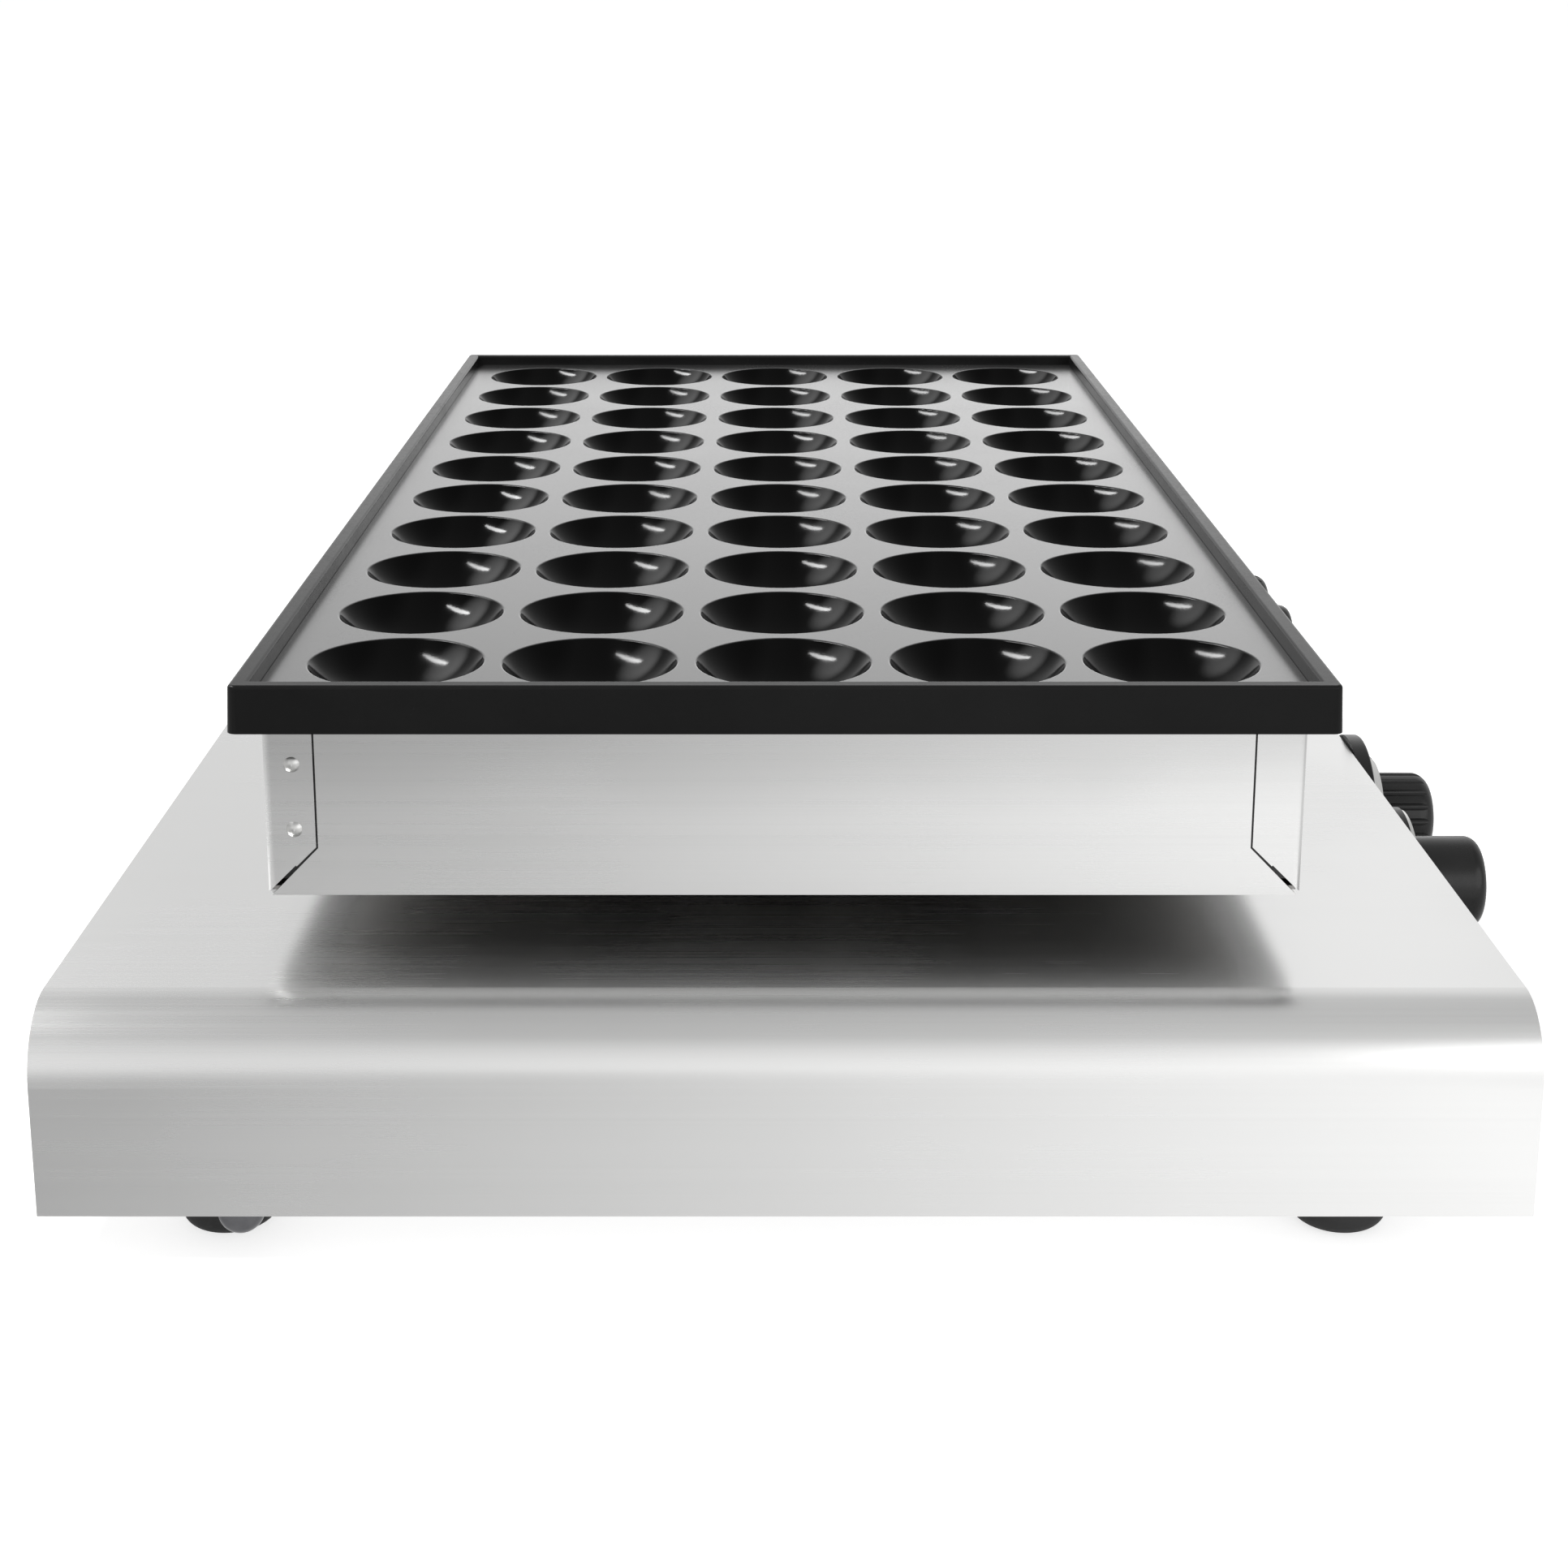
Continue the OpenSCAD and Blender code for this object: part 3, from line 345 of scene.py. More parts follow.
def from_cup_middle(tree, along, count):
    """Signed distance to the middle of the nearest cup, along one axis that has so many cups."""
    pitch = CUP_PITCH * MM
    start = sum_of(tree, along, (count - 1) / 2 * pitch)
    nearest = math_step(tree, "SNAP", sum_of(tree, start, pitch / 2), pitch)
    return difference_of(tree, start, nearest)


def within(tree, place, half_x, half_y):
    """1 inside a rectangle round the plate's middle, 0 outside; half sizes in millimetres."""
    inside_x = math_step(tree, "LESS_THAN", math_step(tree, "ABSOLUTE", place["X"]), half_x * MM)
    inside_y = math_step(tree, "LESS_THAN", math_step(tree, "ABSOLUTE", place["Y"]), half_y * MM)
    return product_of(tree, inside_x, inside_y)


def cup_normal(tree, across_x, across_y, height, distance):
    """The normal of a cup's sphere, and a mask that is 1 on that sphere and 0 on its lip and elsewhere."""
    sphere = (CUP_RADIUS ** 2 + CUP_DEPTH ** 2) / (2 * CUP_DEPTH) * MM
    middle = (LAND_HEIGHT - CUP_DEPTH) * MM + sphere
    below = difference_of(tree, middle, height)
    inward = tree.nodes.new("ShaderNodeCombineXYZ")
    tree.links.new(product_of(tree, across_x, -1.0), inward.inputs["X"])
    tree.links.new(product_of(tree, across_y, -1.0), inward.inputs["Y"])
    tree.links.new(below, inward.inputs["Z"])
    turned = tree.nodes.new("ShaderNodeVectorTransform")
    turned.vector_type = "NORMAL"
    turned.convert_from = "OBJECT"
    turned.convert_to = "WORLD"
    tree.links.new(inward.outputs["Vector"], turned.inputs["Vector"])
    stray = math_step(tree, "ABSOLUTE", difference_of(tree, distance_of(tree, distance, below), sphere))
    near = math_step(tree, "LESS_THAN", stray, SPHERE_STRAY * MM)
    inside_lip = math_step(tree, "LESS_THAN", distance, CUP_LIP_FROM * MM)
    return turned.outputs["Vector"], product_of(tree, near, inside_lip)


def nonstick_plate(name):
    """Cast plate with black non-stick coating: satin on land and rim, and smooth round cups, with painted
    sheen on the land and painted shade in the cups.
    """
    material, tree, shader = new_material(name)
    place = object_place(tree)
    parts = parts_of(tree, place)
    across_x = from_cup_middle(tree, parts["X"], CUPS_ALONG_X)
    across_y = from_cup_middle(tree, parts["Y"], CUPS_ALONG_Y)
    distance = distance_of(tree, across_x, across_y)
    in_cup = spread(tree, distance, 1.0, 0.0, (CUP_RADIUS - CUP_EDGE) * MM, (CUP_RADIUS + CUP_EDGE) * MM)
    cup_field = within(tree, parts, CUPS_ALONG_X / 2 * CUP_PITCH, CUPS_ALONG_Y / 2 * CUP_PITCH)
    cup = product_of(tree, in_cup, cup_field)
    inside = within(tree, parts, RIM_FROM_X, RIM_FROM_Y)
    clouds = noise(tree, place, scale=26.0, detail=4.0)
    speckle = noise(tree, place, scale=900.0, detail=2.0)
    peel = noise(tree, place, scale=260.0)
    # Painted sheen and shade: the one coating is lighter on the land and near black in the cups
    land_sheen_colour = two_tone(tree, clouds, grey(0.028), grey(0.038))
    cup_shade_colour = two_tone(tree, clouds, grey(0.0012), grey(0.002))
    rim_colour = two_tone(tree, clouds, grey(0.009), grey(0.012))
    flat_colour = mix_of(tree, inside, rim_colour, land_sheen_colour, "RGBA")
    land_rough = sum_of(tree, spread(tree, clouds, low=0.2, high=0.25),
                        spread(tree, speckle, low=-0.03, high=0.03))
    cup_rough = spread(tree, clouds, low=0.08, high=0.12)
    round_normal, on_sphere = cup_normal(tree, across_x, across_y, parts["Z"], distance)
    round_part = product_of(tree, on_sphere, cup_field)
    shape = mix_of(tree, round_part, surface_normal(tree), round_normal, "VECTOR")
    peeled = bump(tree, peel, strength=0.05, depth=0.0002, below=shape)
    speckled = bump(tree, speckle, strength=0.06, depth=0.0001, below=peeled)
    dress(tree, shader, mix_of(tree, cup, flat_colour, cup_shade_colour, "RGBA"),
          mix_of(tree, cup, land_rough, cup_rough), speckled)
    cup_or_rim = math_step(tree, "MAXIMUM", cup, difference_of(tree, 1.0, inside))
    tree.links.new(difference_of(tree, 1.0, cup_or_rim), shader.inputs["Coat Weight"])
    shader.inputs["Coat Roughness"].default_value = 0.22
    shader.inputs["Coat IOR"].default_value = 1.45
    shader.inputs["Specular IOR Level"].default_value = 0.08
    return material


def moulded_plastic(name, colour, roughness, grain=1400.0, strength=0.1, shine=0.5):
    """Moulded plastic: a fine grain, slight mottling and uneven gloss."""
    material, tree, shader = new_material(name)
    place = object_place(tree)
    mottle = noise(tree, place, scale=90.0, detail=4.0)
    fine = noise(tree, place, scale=grain, detail=2.0)
    tone = two_tone(tree, mottle, scaled(colour, 0.8), scaled(colour, 1.25))
    rough = sum_of(tree, spread(tree, mottle, roughness - 0.05, roughness + 0.05),
                   spread(tree, fine, low=-0.02, high=0.02))
    dress(tree, shader, tone, rough, bump(tree, fine, strength, depth=0.00012))
    shader.inputs["Specular IOR Level"].default_value = shine
    return material


def foot_rubber(name):
    """Matt rubber with a moulded grain and a dusty bloom."""
    material, tree, shader = new_material(name)
    place = object_place(tree)
    bloom = noise(tree, place, scale=140.0, detail=5.0, roughness=0.65)
    fine = noise(tree, place, scale=1100.0)
    tone = bands(tree, bloom, ((0.3, 0.016), (0.62, 0.028), (0.8, 0.045)))
    rough = spread(tree, bloom, low=0.58, high=0.74)
    dress(tree, shader, tone, rough, bump(tree, fine, strength=0.2, depth=0.0002))
    return material


# Middle of an object's box in generated coordinates
BOX_MIDDLE = (0.5, 0.5, 0.5)


def spun_metal(name, colour, roughness):
    """Turned ring whose grain runs round its own axis."""
    material, tree, shader = new_material(name)
    coordinates = tree.nodes.new("ShaderNodeTexCoord")
    centred = parts_of(tree, vector_step(tree, "SUBTRACT", coordinates.outputs["Generated"], BOX_MIDDLE))
    rings = tree.nodes.new("ShaderNodeTexNoise")
    rings.noise_dimensions = "1D"
    rings.inputs["Scale"].default_value = 130.0
    rings.inputs["Detail"].default_value = 3.0
    tree.links.new(distance_of(tree, centred["X"], centred["Z"]), rings.inputs["W"])
    groove = rings.outputs["Fac"]
    clouds = noise(tree, object_place(tree), scale=120.0)
    mixed = sum_of(tree, product_of(tree, groove, 0.7), product_of(tree, clouds, 0.3))
    tone = shades(tree, mixed, (0.32, scaled(colour, 0.86)), (0.68, scaled(colour, 1.08)))
    rough = spread(tree, mixed, roughness - 0.05, roughness + 0.06)
    dress(tree, shader, tone, rough, bump(tree, groove, strength=0.15, depth=0.00005))
    shader.inputs["Metallic"].default_value = 1.0
    return material


def plated_metal(name, colour, tinted, roughness):
    """Plated or polished steel with a cloudy tint; also dark steel, as painted shade."""
    material, tree, shader = new_material(name)
    place = object_place(tree)
    clouds = noise(tree, place, scale=170.0, detail=4.0)
    fine = noise(tree, place, scale=1500.0, detail=2.0)
    tone = shades(tree, clouds, (0.32, tinted), (0.55, colour), (0.72, scaled(colour, 1.08)))
    rough = spread(tree, clouds, roughness + 0.06, roughness - 0.04)
    dress(tree, shader, tone, rough, bump(tree, fine, strength=0.06, depth=0.00008))
    shader.inputs["Metallic"].default_value = 1.0
    return material


def heater_sheath(name):
    """Heating element's sheath: dark oxide with cloudy heat tints."""
    material, tree, shader = new_material(name)
    place = object_place(tree)
    tint = noise(tree, place, scale=32.0, detail=4.0)
    scale_marks = noise(tree, place, scale=700.0, detail=4.0)
    tone = shades(tree, tint, (0.3, (0.045, 0.04, 0.038)), (0.5, (0.09, 0.075, 0.06)),
                  (0.7, (0.07, 0.075, 0.085)))
    rough = spread(tree, scale_marks, low=0.42, high=0.6)
    dress(tree, shader, tone, rough, bump(tree, scale_marks, strength=0.2, depth=0.0001))
    shader.inputs["Metallic"].default_value = 0.8
    return material


def amber_lens(name):
    """Amber lens of a pilot lamp, with fine moulded ribs."""
    material, tree, shader = new_material(name)
    place = object_place(tree)
    cloud = noise(tree, place, scale=240.0, detail=2.0)
    ribs = tree.nodes.new("ShaderNodeTexWave")
    ribs.inputs["Scale"].default_value = 420.0
    ribs.inputs["Distortion"].default_value = 0.4
    tree.links.new(place, ribs.inputs["Vector"])
    tone = two_tone(tree, cloud, (0.86, 0.27, 0.02), (0.95, 0.38, 0.04))
    rough = spread(tree, cloud, low=0.08, high=0.16)
    dress(tree, shader, tone, rough, bump(tree, ribs.outputs["Fac"], strength=0.25, depth=0.0002))
    shader.inputs["Transmission Weight"].default_value = 0.25
    shader.inputs["IOR"].default_value = 1.49
    return material


def dial_paint(name, colour):
    """Printed or filled paint with a slightly uneven coat."""
    material, tree, shader = new_material(name)
    cover = noise(tree, object_place(tree), scale=800.0)
    tone = two_tone(tree, cover, scaled(colour, 0.88), scaled(colour, 1.06))
    dress(tree, shader, tone, spread(tree, cover, low=0.42, high=0.56))
    return material


steel_upright = brushed_steel("brushed_stainless", lying=False)
steel_box = brushed_steel("brushed_stainless_box", lying=False, shaded=True)
# Painted shade: the heater box's floor is steel painted dark for the shade under the box
steel_floor = brushed_steel("heated_stainless", lying=True, colour=(0.34, 0.33, 0.32), roughness=0.42)
steel_base = brushed_steel("brushed_stainless_base", lying=True, roughness=0.26, stretch=0.8)
coating = nonstick_plate("nonstick_cast")
knob_plastic = moulded_plastic("knob_black", grey(0.009), roughness=0.3, shine=0.32)
case_plastic = moulded_plastic("control_case", (0.42, 0.40, 0.35), roughness=0.45)
nylon = moulded_plastic("black_moulding", grey(0.018), roughness=0.42, grain=900.0, strength=0.16)
rubber = foot_rubber("foot_rubber")
ring_metal = spun_metal("knob_trim", (0.66, 0.66, 0.65), roughness=0.3)
zinc = plated_metal("zinc_plate", (0.6, 0.61, 0.6), tinted=(0.5, 0.52, 0.56), roughness=0.28)
chrome = plated_metal("polished_dome", (0.2, 0.2, 0.21), tinted=(0.16, 0.16, 0.17), roughness=0.1)
rivet_steel = plated_metal("rivet_steel", (0.55, 0.55, 0.54), tinted=(0.45, 0.45, 0.45), roughness=0.34)
# Painted shade: steel painted dark for the pieces in the shade under and inside the heater box
shade_dark_steel = plated_metal("blackened_steel", grey(0.055), tinted=grey(0.035), roughness=0.4)
sheath = heater_sheath("element_sheath")
amber = amber_lens("lamp_amber")
white_paint = dial_paint("dial_paint_white", grey(0.8))
black_paint = dial_paint("dial_paint_black", grey(0.015))

FINISHES = (
    ("baking_plate", coating),
    ("element_", sheath),
    ("clamp_bar_", zinc),
    ("sensor_", sheath),
    ("box_side_", steel_box),
    ("box_end_", steel_box),
    ("box_floor", steel_floor),
    ("corner_bracket_", shade_dark_steel),
    ("corner_rivets", rivet_steel),
    ("tie_rod", zinc),
    ("standoff_", shade_dark_steel),
    ("wire_sleeve_", shade_dark_steel),
    ("base_cover", steel_base),
    ("front_panel", steel_upright),
    ("rear_panel", steel_upright),
    ("bottom_plate", steel_base),
    ("foot_screws", zinc),
    ("foot_", rubber),
    ("dome_bolt_nut", zinc),
    ("dome_bolt", chrome),
    ("timer_knob_", knob_plastic),
    ("thermostat_knob_", knob_plastic),
    ("timer_ring_", ring_metal),
    ("thermostat_ring_", ring_metal),
    ("timer_shaft_", zinc),
    ("thermostat_shaft_", zinc),
    ("timer_", case_plastic),
    ("thermostat_", case_plastic),
    ("bush_nuts", zinc),
    ("lamp_lens_", amber),
    ("lamp_body_", nylon),
    ("cord_gland", nylon),
    ("gland_nut", nylon),
)


def finish_of(node):
    """The material of a CAD node by the start of its name."""
    for start, material in FINISHES:
        if node.startswith(start):
            return material
    raise ValueError("no material for " + node)


for node, thing in nodes.items():
    thing.data.materials.clear()
    thing.data.materials.append(finish_of(node))


# Pieces that the solids leave out: print on dials and panel, and the paint of the index lines

def add_piece(name, mesh_data, material, body):
    """Makes an object of a bmesh and hangs it on a body."""
    mesh = bpy.data.meshes.new(name)
    mesh_data.to_mesh(mesh)
    mesh_data.free()
    mesh.materials.append(material)
    piece = bpy.data.objects.new(name, mesh)
    scene.collection.objects.link(piece)
    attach(piece, body)
    return piece


def number_mesh(text, height, thickness):
    """Mesh of a number, centred, lying in the XY plane with its face towards +Z."""
    curve = bpy.data.curves.new("number", "FONT")
    curve.body = text
    curve.size = height
    curve.align_x = "CENTER"
    curve.align_y = "CENTER"
    curve.extrude = thickness / 2
    curve.resolution_u = 3
    holder = bpy.data.objects.new("number", curve)
    scene.collection.objects.link(holder)
    bpy.context.view_layer.update()
    mesh = bpy.data.meshes.new_from_object(holder.evaluated_get(bpy.context.evaluated_depsgraph_get()))
    bpy.data.objects.remove(holder)
    bpy.data.curves.remove(curve)
    return mesh


def plate_of(outline, thickness):
    """Bmesh of a flat outline with a thickness, centred on Z = 0."""
    work = bmesh.new()
    face = work.faces.new([work.verts.new((x, y, -thickness / 2)) for x, y in outline])
    made = bmesh.ops.extrude_face_region(work, geom=[face])
    moved = [part for part in made["geom"] if isinstance(part, bmesh.types.BMVert)]
    bmesh.ops.translate(work, verts=moved, vec=(0, 0, thickness))
    bmesh.ops.recalc_face_normals(work, faces=work.faces)
    return work


def join_into(target, part, matrix):
    """Adds a bmesh or mesh to another bmesh, placed by a matrix."""
    if isinstance(part, bmesh.types.BMesh):
        mesh = bpy.data.meshes.new("part")
        part.to_mesh(mesh)
        part.free()
    else:
        mesh = part
    mesh.transform(matrix)
    target.from_mesh(mesh)
    bpy.data.meshes.remove(mesh)


def dial_matrix(x, face_y, z):
    """Places a drawing in XY on the front panel: right is +X, up is +Z, and it faces -Y."""
    return Matrix(((1, 0, 0, x), (0, 0, -1, face_y), (0, 1, 0, z), (0, 0, 0, 1)))


# Print and paint on the dials: thickness in metres, other lengths in millimetres, steps in degrees
PRINT_THICKNESS = 0.06 * MM
TICK_HALF_WIDTH = 0.18
TICK_HALF_LENGTH = 0.6
INDEX_WIDTH = 1.4
INDEX_FILL = 0.45
INDEX_FROM = 0.4
INDEX_ROUND_SIDES = 8
MARK_GAP = 0.8
MARK_LENGTH = 2.6
MARK_HALF_WIDTH = 1.3
TIMER_STEP = 60
TIMER_NUMBER_HEIGHT = 3.6
TIMER_NUMBERS_IN = 3.6
TIMER_TICKS_IN = 1.0
TIMER_LINE = 11.0
HEAT_STEP = 45
HEAT_NUMBER_HEIGHT = 2.3
HEAT_LINE = 9.8


def dial_print(name, joint, face_y, radius, tilt, marks, ticks, size, tick_radius):
    """Numbers and ticks on a dial's ring, read at its left.

    The dial turns clockwise, so they run the other way.
    """
    x, _, z = joint["pos_m"]
    base = dial_matrix(x, face_y, z)
    lean = Matrix.Rotation(-tilt, 4, "Y")
    work = bmesh.new()
    for angle, text in marks:
        turn = Matrix.Rotation(math.radians(angle), 4, "Z")
        place = Matrix.Translation((-radius, 0, 0)) @ lean
        join_into(work, number_mesh(text, size, PRINT_THICKNESS), base @ turn @ place)
    half_width = TICK_HALF_WIDTH * MM
    half_length = TICK_HALF_LENGTH * MM
    bar = [(-half_length, -half_width), (half_length, -half_width),
           (half_length, half_width), (-half_length, half_width)]
    for angle in ticks:
        turn = Matrix.Rotation(math.radians(angle), 4, "Z")
        place = Matrix.Translation((-tick_radius, 0, 0)) @ lean
        join_into(work, plate_of(bar, PRINT_THICKNESS), base @ turn @ place)
    return add_piece(name, work, black_paint, joint["child"])


def index_fill(name, joint, knob, length):
    """Paint in the groove of a knob's index line."""
    x, _, z = joint["pos_m"]
    front_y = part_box(knob)[0].y
    width = INDEX_WIDTH * MM
    top = length * MM
    corner = width / 2
    bottom = INDEX_FROM * MM
    outline = [(-corner, bottom), (corner, bottom), (corner, top - corner)]
    for step in range(1, INDEX_ROUND_SIDES):
        angle = math.pi * step / INDEX_ROUND_SIDES
        outline.append((corner * math.cos(angle), top - corner + corner * math.sin(angle)))
    outline.append((-corner, top - corner))
    work = plate_of(outline, INDEX_FILL * MM)
    floor_y = front_y + (INDEX_DEPTH - INDEX_FILL / 2) * MM
    work.transform(dial_matrix(x, floor_y, z))
    return add_piece(name, work, white_paint, joint["child"])


def panel_mark(name, joint, reach):
    """Small printed arrow on the panel, at the left of a dial, that its numbers are read against."""
    x, face_y, z = joint["pos_m"]
    tip = -reach - MARK_GAP * MM
    back = tip - MARK_LENGTH * MM
    half = MARK_HALF_WIDTH * MM
    work = plate_of([(tip, 0), (back, half), (back, -half)], PRINT_THICKNESS)
    work.transform(dial_matrix(x, face_y - PRINT_THICKNESS / 2, z))
    return add_piece(name, work, black_paint, ROOT)


# Steps on the dials, and what each heat step adds to its number
TIMER_STEPS = 5
HEAT_STEPS = 6
HEAT_PER_STEP = 50

TIMER_MARKS = [(TIMER_STEP * step, str(step)) for step in range(TIMER_STEPS + 1)]
TIMER_TICKS = [TIMER_STEP * (step + 0.5) for step in range(TIMER_STEPS)]
HEAT_MARKS = [(HEAT_STEP * step, str(HEAT_PER_STEP * step)) for step in range(HEAT_STEPS + 1)]
HEAT_TICKS = [HEAT_STEP * (step + 0.5) for step in range(1, HEAT_STEPS)]
RING_SLOPE = math.atan2(RING_HEIGHT, RING_LEAN)


def outer_radius(node):
    """Outer radius of a node that is round about a knob's axis."""
    low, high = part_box(node)
    return (high.x - low.x) / 2


for joint in frame["joints"]:
    dial = joint["child"].replace("_dial", "")
    kind, side = dial.split("_")
    knob = kind + "_knob_" + side
    ring = kind + "_ring_" + side
    ring_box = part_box(ring)
    ring_radius = outer_radius(ring)
    if kind == "timer":
        face_y = ring_box[0].y - PRINT_THICKNESS / 2
        dial_print(dial + "_scale", joint, face_y, ring_radius - TIMER_NUMBERS_IN * MM, 0.0, TIMER_MARKS,
                   TIMER_TICKS, TIMER_NUMBER_HEIGHT * MM, ring_radius - TIMER_TICKS_IN * MM)
        index_fill(dial + "_index", joint, knob, TIMER_LINE)
    else:
        face_y = (ring_box[0].y + ring_box[1].y) / 2
        lift = PRINT_THICKNESS / 2
        radius = ring_radius - RING_LEAN / 2 * MM + lift * math.sin(RING_SLOPE)
        face_y -= lift * math.cos(RING_SLOPE)
        dial_print(dial + "_scale", joint, face_y, radius, RING_SLOPE, HEAT_MARKS, HEAT_TICKS,
                   HEAT_NUMBER_HEIGHT * MM, radius)
        index_fill(dial + "_index", joint, knob, HEAT_LINE)
    panel_mark(dial + "_mark", joint, outer_radius(knob))


# Floor, light and camera

def ray_kinds(tree):
    """Outputs that are 1 for camera rays, and for rays that show the surroundings at all."""
    path = tree.nodes.new("ShaderNodeLightPath")
    mirrored = math_step(tree, "MAXIMUM", path.outputs["Is Glossy Ray"],
                         path.outputs["Is Transmission Ray"])
    seen = math_step(tree, "MAXIMUM", path.outputs["Is Camera Ray"], mirrored)
    return path.outputs["Is Camera Ray"], seen


def front_to_rear(tree, along_y):
    """0 at the front and 1 at the rear, as a place or direction goes from -1 to 1 along Y."""
    return spread(tree, along_y, low=0.0, high=1.0, start=-1.0, end=1.0, smooth=False)


# Floor: sizes in metres, its pale colour, and what the camera and reflections see of it
FLOOR_HALF = 40.0
FLOOR_DROP = 0.0002
FLOOR_COLOUR = (0.8, 0.8, 0.8, 1.0)
FLOOR_DIFFUSE_SEEN = 0.64
FLOOR_DIFFUSE_MIRRORED = 0.25
FLOOR_GLOW_SEEN = 0.74
FLOOR_GLOW_BEYOND = 0.55
FLOOR_NEAR_GAIN = 1.15
FLOOR_GAIN_FROM = -0.55
FLOOR_GAIN_TO = -0.42
FLOOR_END_FROM = -0.31
FLOOR_END_TO = -0.27

# Bands of the floor in reflections: places from front to rear, and levels
FLOOR_BANDS = ((0.2, 0.62), (0.33, 0.8), (0.4, 0.92), (0.5, 0.53), (0.6, 0.17), (0.7, 0.36), (0.85, 0.5))


def floor_material():
    """White round the object with its shadow kept, and graded from front to rear in reflections."""
    material = bpy.data.materials.new("pale_floor")
    material.use_nodes = True
    tree = material.node_tree
    tree.nodes.clear()
    output = tree.nodes.new("ShaderNodeOutputMaterial")
    camera_ray, seen = ray_kinds(tree)
    place = parts_of(tree, object_place(tree))
    graded = bands(tree, front_to_rear(tree, place["Y"]), FLOOR_BANDS)
    gain = spread(tree, place["X"], 1.0, FLOOR_NEAR_GAIN, FLOOR_GAIN_FROM, FLOOR_GAIN_TO)
    before_end = spread(tree, place["X"], 1.0, 0.0, FLOOR_END_FROM, FLOOR_END_TO)
    mirrored = mix_of(tree, before_end, FLOOR_GLOW_BEYOND, product_of(tree, graded, gain))
    glow = tree.nodes.new("ShaderNodeEmission")
    tree.links.new(mix_of(tree, camera_ray, mirrored, FLOOR_GLOW_SEEN), glow.inputs["Strength"])
    thin = tree.nodes.new("ShaderNodeBsdfDiffuse")
    diffuse = mix_of(tree, camera_ray, FLOOR_DIFFUSE_MIRRORED, FLOOR_DIFFUSE_SEEN)
    tree.links.new(diffuse, thin.inputs["Color"])
    both = tree.nodes.new("ShaderNodeAddShader")
    tree.links.new(thin.outputs["BSDF"], both.inputs[0])
    tree.links.new(glow.outputs["Emission"], both.inputs[1])
    matt = tree.nodes.new("ShaderNodeBsdfDiffuse")
    matt.inputs["Color"].default_value = FLOOR_COLOUR
    pick = tree.nodes.new("ShaderNodeMixShader")
    tree.links.new(seen, pick.inputs["Fac"])
    tree.links.new(matt.outputs["BSDF"], pick.inputs[1])
    tree.links.new(both.outputs["Shader"], pick.inputs[2])
    tree.links.new(pick.outputs["Shader"], output.inputs["Surface"])
    return material


def pale_floor():
    """Wide flat floor, a hair under the feet."""
    work = bmesh.new()
    bmesh.ops.create_grid(work, x_segments=2, y_segments=2, size=FLOOR_HALF)
    mesh = bpy.data.meshes.new("floor")
    work.to_mesh(mesh)
    work.free()
    mesh.materials.append(floor_material())
    floor = bpy.data.objects.new("floor", mesh)
    floor.location = (0, 0, -FLOOR_DROP)
    scene.collection.objects.link(floor)


# Surroundings: their level for diffuse light, and where reflections lose or gain light with height
AROUND_DIFFUSE = 0.42
AROUND_WHITE = 1.0
LOWER_LEVEL = 1.25
OVERHEAD_LEVEL = 0.74
OVERHEAD_FROM = 0.45
OVERHEAD_TO = 0.85
HORIZON_GAIN = 1.25
HORIZON_FROM = 0.14
HORIZON_TO = 0.32

# Bands of the surroundings in reflections: places from front to rear, and levels
AROUND_BANDS = ((0.12, 0.5), (0.25, 0.58), (0.37, 0.96), (0.5, 0.84), (0.62, 0.7), (0.73, 0.95),
                (0.85, 0.5))

# Soft glow in reflections: its direction and half width in degrees, and its level
GLOW_AZIMUTH = 68.0
GLOW_ELEVATION = 44.0
GLOW_SPREAD = 23.0
GLOW_LEVEL = 6.0


def direction(azimuth, elevation):
    """Unit vector towards an azimuth and an elevation in degrees."""
    turn = math.radians(azimuth)
    rise = math.radians(elevation)
    return Vector((math.cos(rise) * math.cos(turn), math.cos(rise) * math.sin(turn), math.sin(rise)))


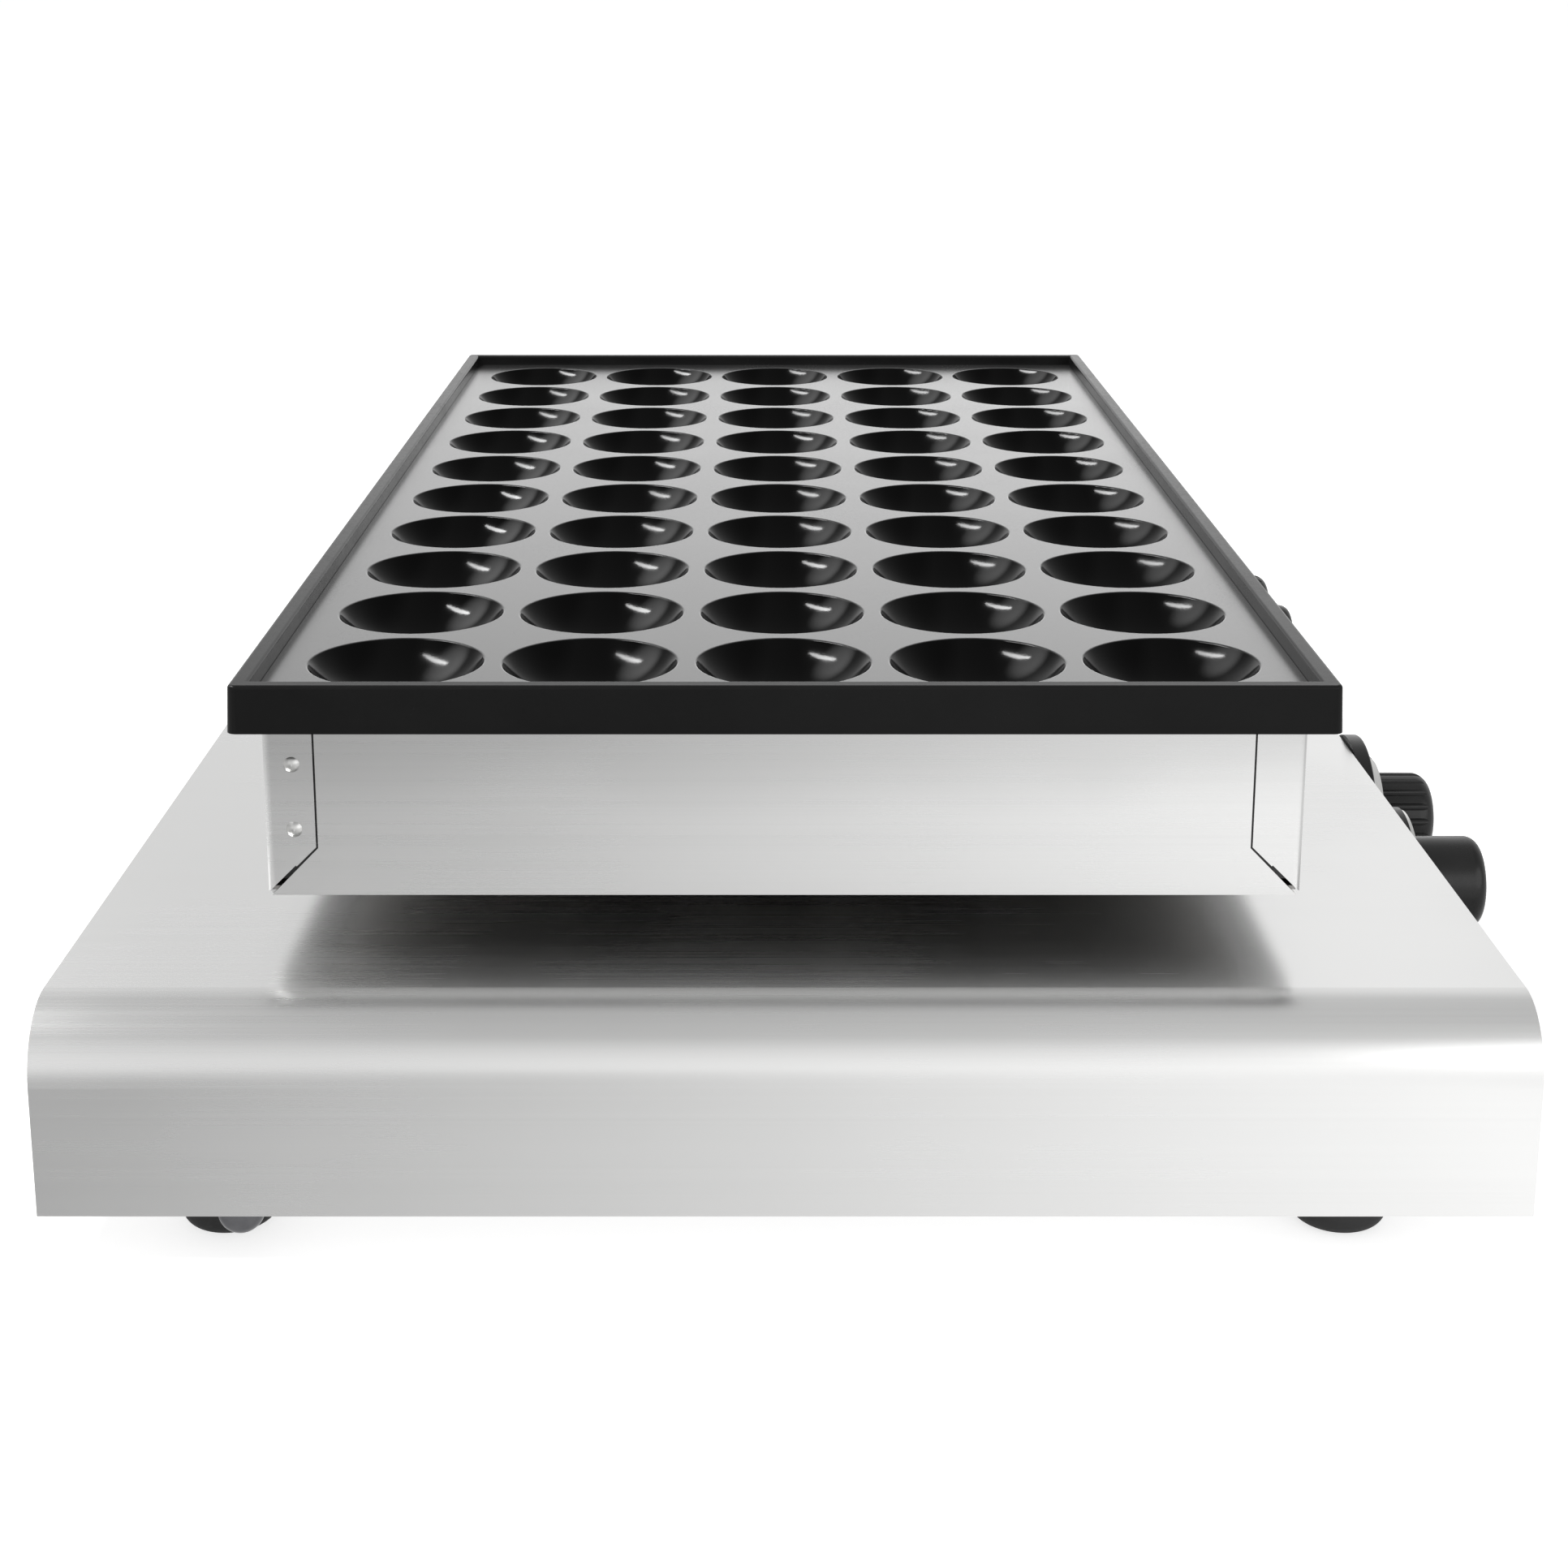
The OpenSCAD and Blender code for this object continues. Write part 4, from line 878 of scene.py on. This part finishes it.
def studio_world():
    """Even light from all round, white where it is seen.

    In reflections it is banded from front to rear, brighter low down, and has one soft glow.
    """
    world = bpy.data.worlds.new("studio")
    scene.world = world
    world.use_nodes = True
    tree = world.node_tree
    tree.nodes.clear()
    output = tree.nodes.new("ShaderNodeOutputWorld")
    camera_ray, seen = ray_kinds(tree)
    sky = tree.nodes.new("ShaderNodeTexCoord").outputs["Generated"]
    toward = parts_of(tree, sky)
    banded = bands(tree, front_to_rear(tree, toward["Y"]), AROUND_BANDS)
    upward = spread(tree, toward["Z"], LOWER_LEVEL, OVERHEAD_LEVEL, OVERHEAD_FROM, OVERHEAD_TO)
    horizon = spread(tree, toward["Z"], HORIZON_GAIN, 1.0, HORIZON_FROM, HORIZON_TO)
    graded = product_of(tree, product_of(tree, banded, upward), horizon)
    nearness = vector_step(tree, "DOT_PRODUCT", sky, direction(GLOW_AZIMUTH, GLOW_ELEVATION))
    glow_edge = math.cos(math.radians(GLOW_SPREAD))
    glow = spread(tree, nearness, 0.0, GLOW_LEVEL, glow_edge, 1.0)
    visible = mix_of(tree, camera_ray, sum_of(tree, graded, glow), AROUND_WHITE)
    light = tree.nodes.new("ShaderNodeBackground")
    light.inputs["Color"].default_value = (1, 1, 1, 1)
    tree.links.new(mix_of(tree, seen, AROUND_DIFFUSE, visible), light.inputs["Strength"])
    tree.links.new(light.outputs["Background"], output.inputs["Surface"])


# Point that the lamps face, in metres
LAMP_AIM = (0.0, 0.0, 0.1)


def soft_lamp(name, azimuth, elevation, distance, size, power, roll=0.0):
    """Oval soft lamp by its direction in degrees and its distance, turned about its own axis by roll."""
    light = bpy.data.lights.new(name, "AREA")
    light.shape = "ELLIPSE"
    light.size, light.size_y = size
    light.energy = power
    lamp = bpy.data.objects.new(name, light)
    offset = direction(azimuth, elevation) * distance
    lamp.location = Vector(LAMP_AIM) + offset
    facing = (-offset).to_track_quat("-Z", "Y").to_matrix().to_4x4()
    lamp.rotation_euler = (facing @ Matrix.Rotation(math.radians(roll), 4, "Z")).to_euler()
    scene.collection.objects.link(lamp)


def photo_camera():
    """Camera at the photograph's viewing angle: along +X and a little down."""
    camera = bpy.data.cameras.new("camera")
    camera.sensor_width = CAMERA_SENSOR
    camera.lens = CAMERA_LENS
    camera.shift_x, camera.shift_y = CAMERA_SHIFT
    camera.clip_end = CAMERA_REACH
    viewer = bpy.data.objects.new("camera", camera)
    viewer.location = CAMERA_PLACE
    viewer.rotation_euler = (math.radians(90 - CAMERA_PITCH), 0.0, math.radians(-90))
    scene.collection.objects.link(viewer)
    scene.camera = viewer


pale_floor()
studio_world()
soft_lamp("lamp_left", azimuth=95, elevation=55, distance=4.0, size=(2.4, 0.27), power=140.0, roll=31)
soft_lamp("lamp_right_near", azimuth=-135, elevation=18, distance=1.6, size=(1.6, 1.1), power=6.0)
photo_camera()
scene.view_settings.view_transform = "Standard"
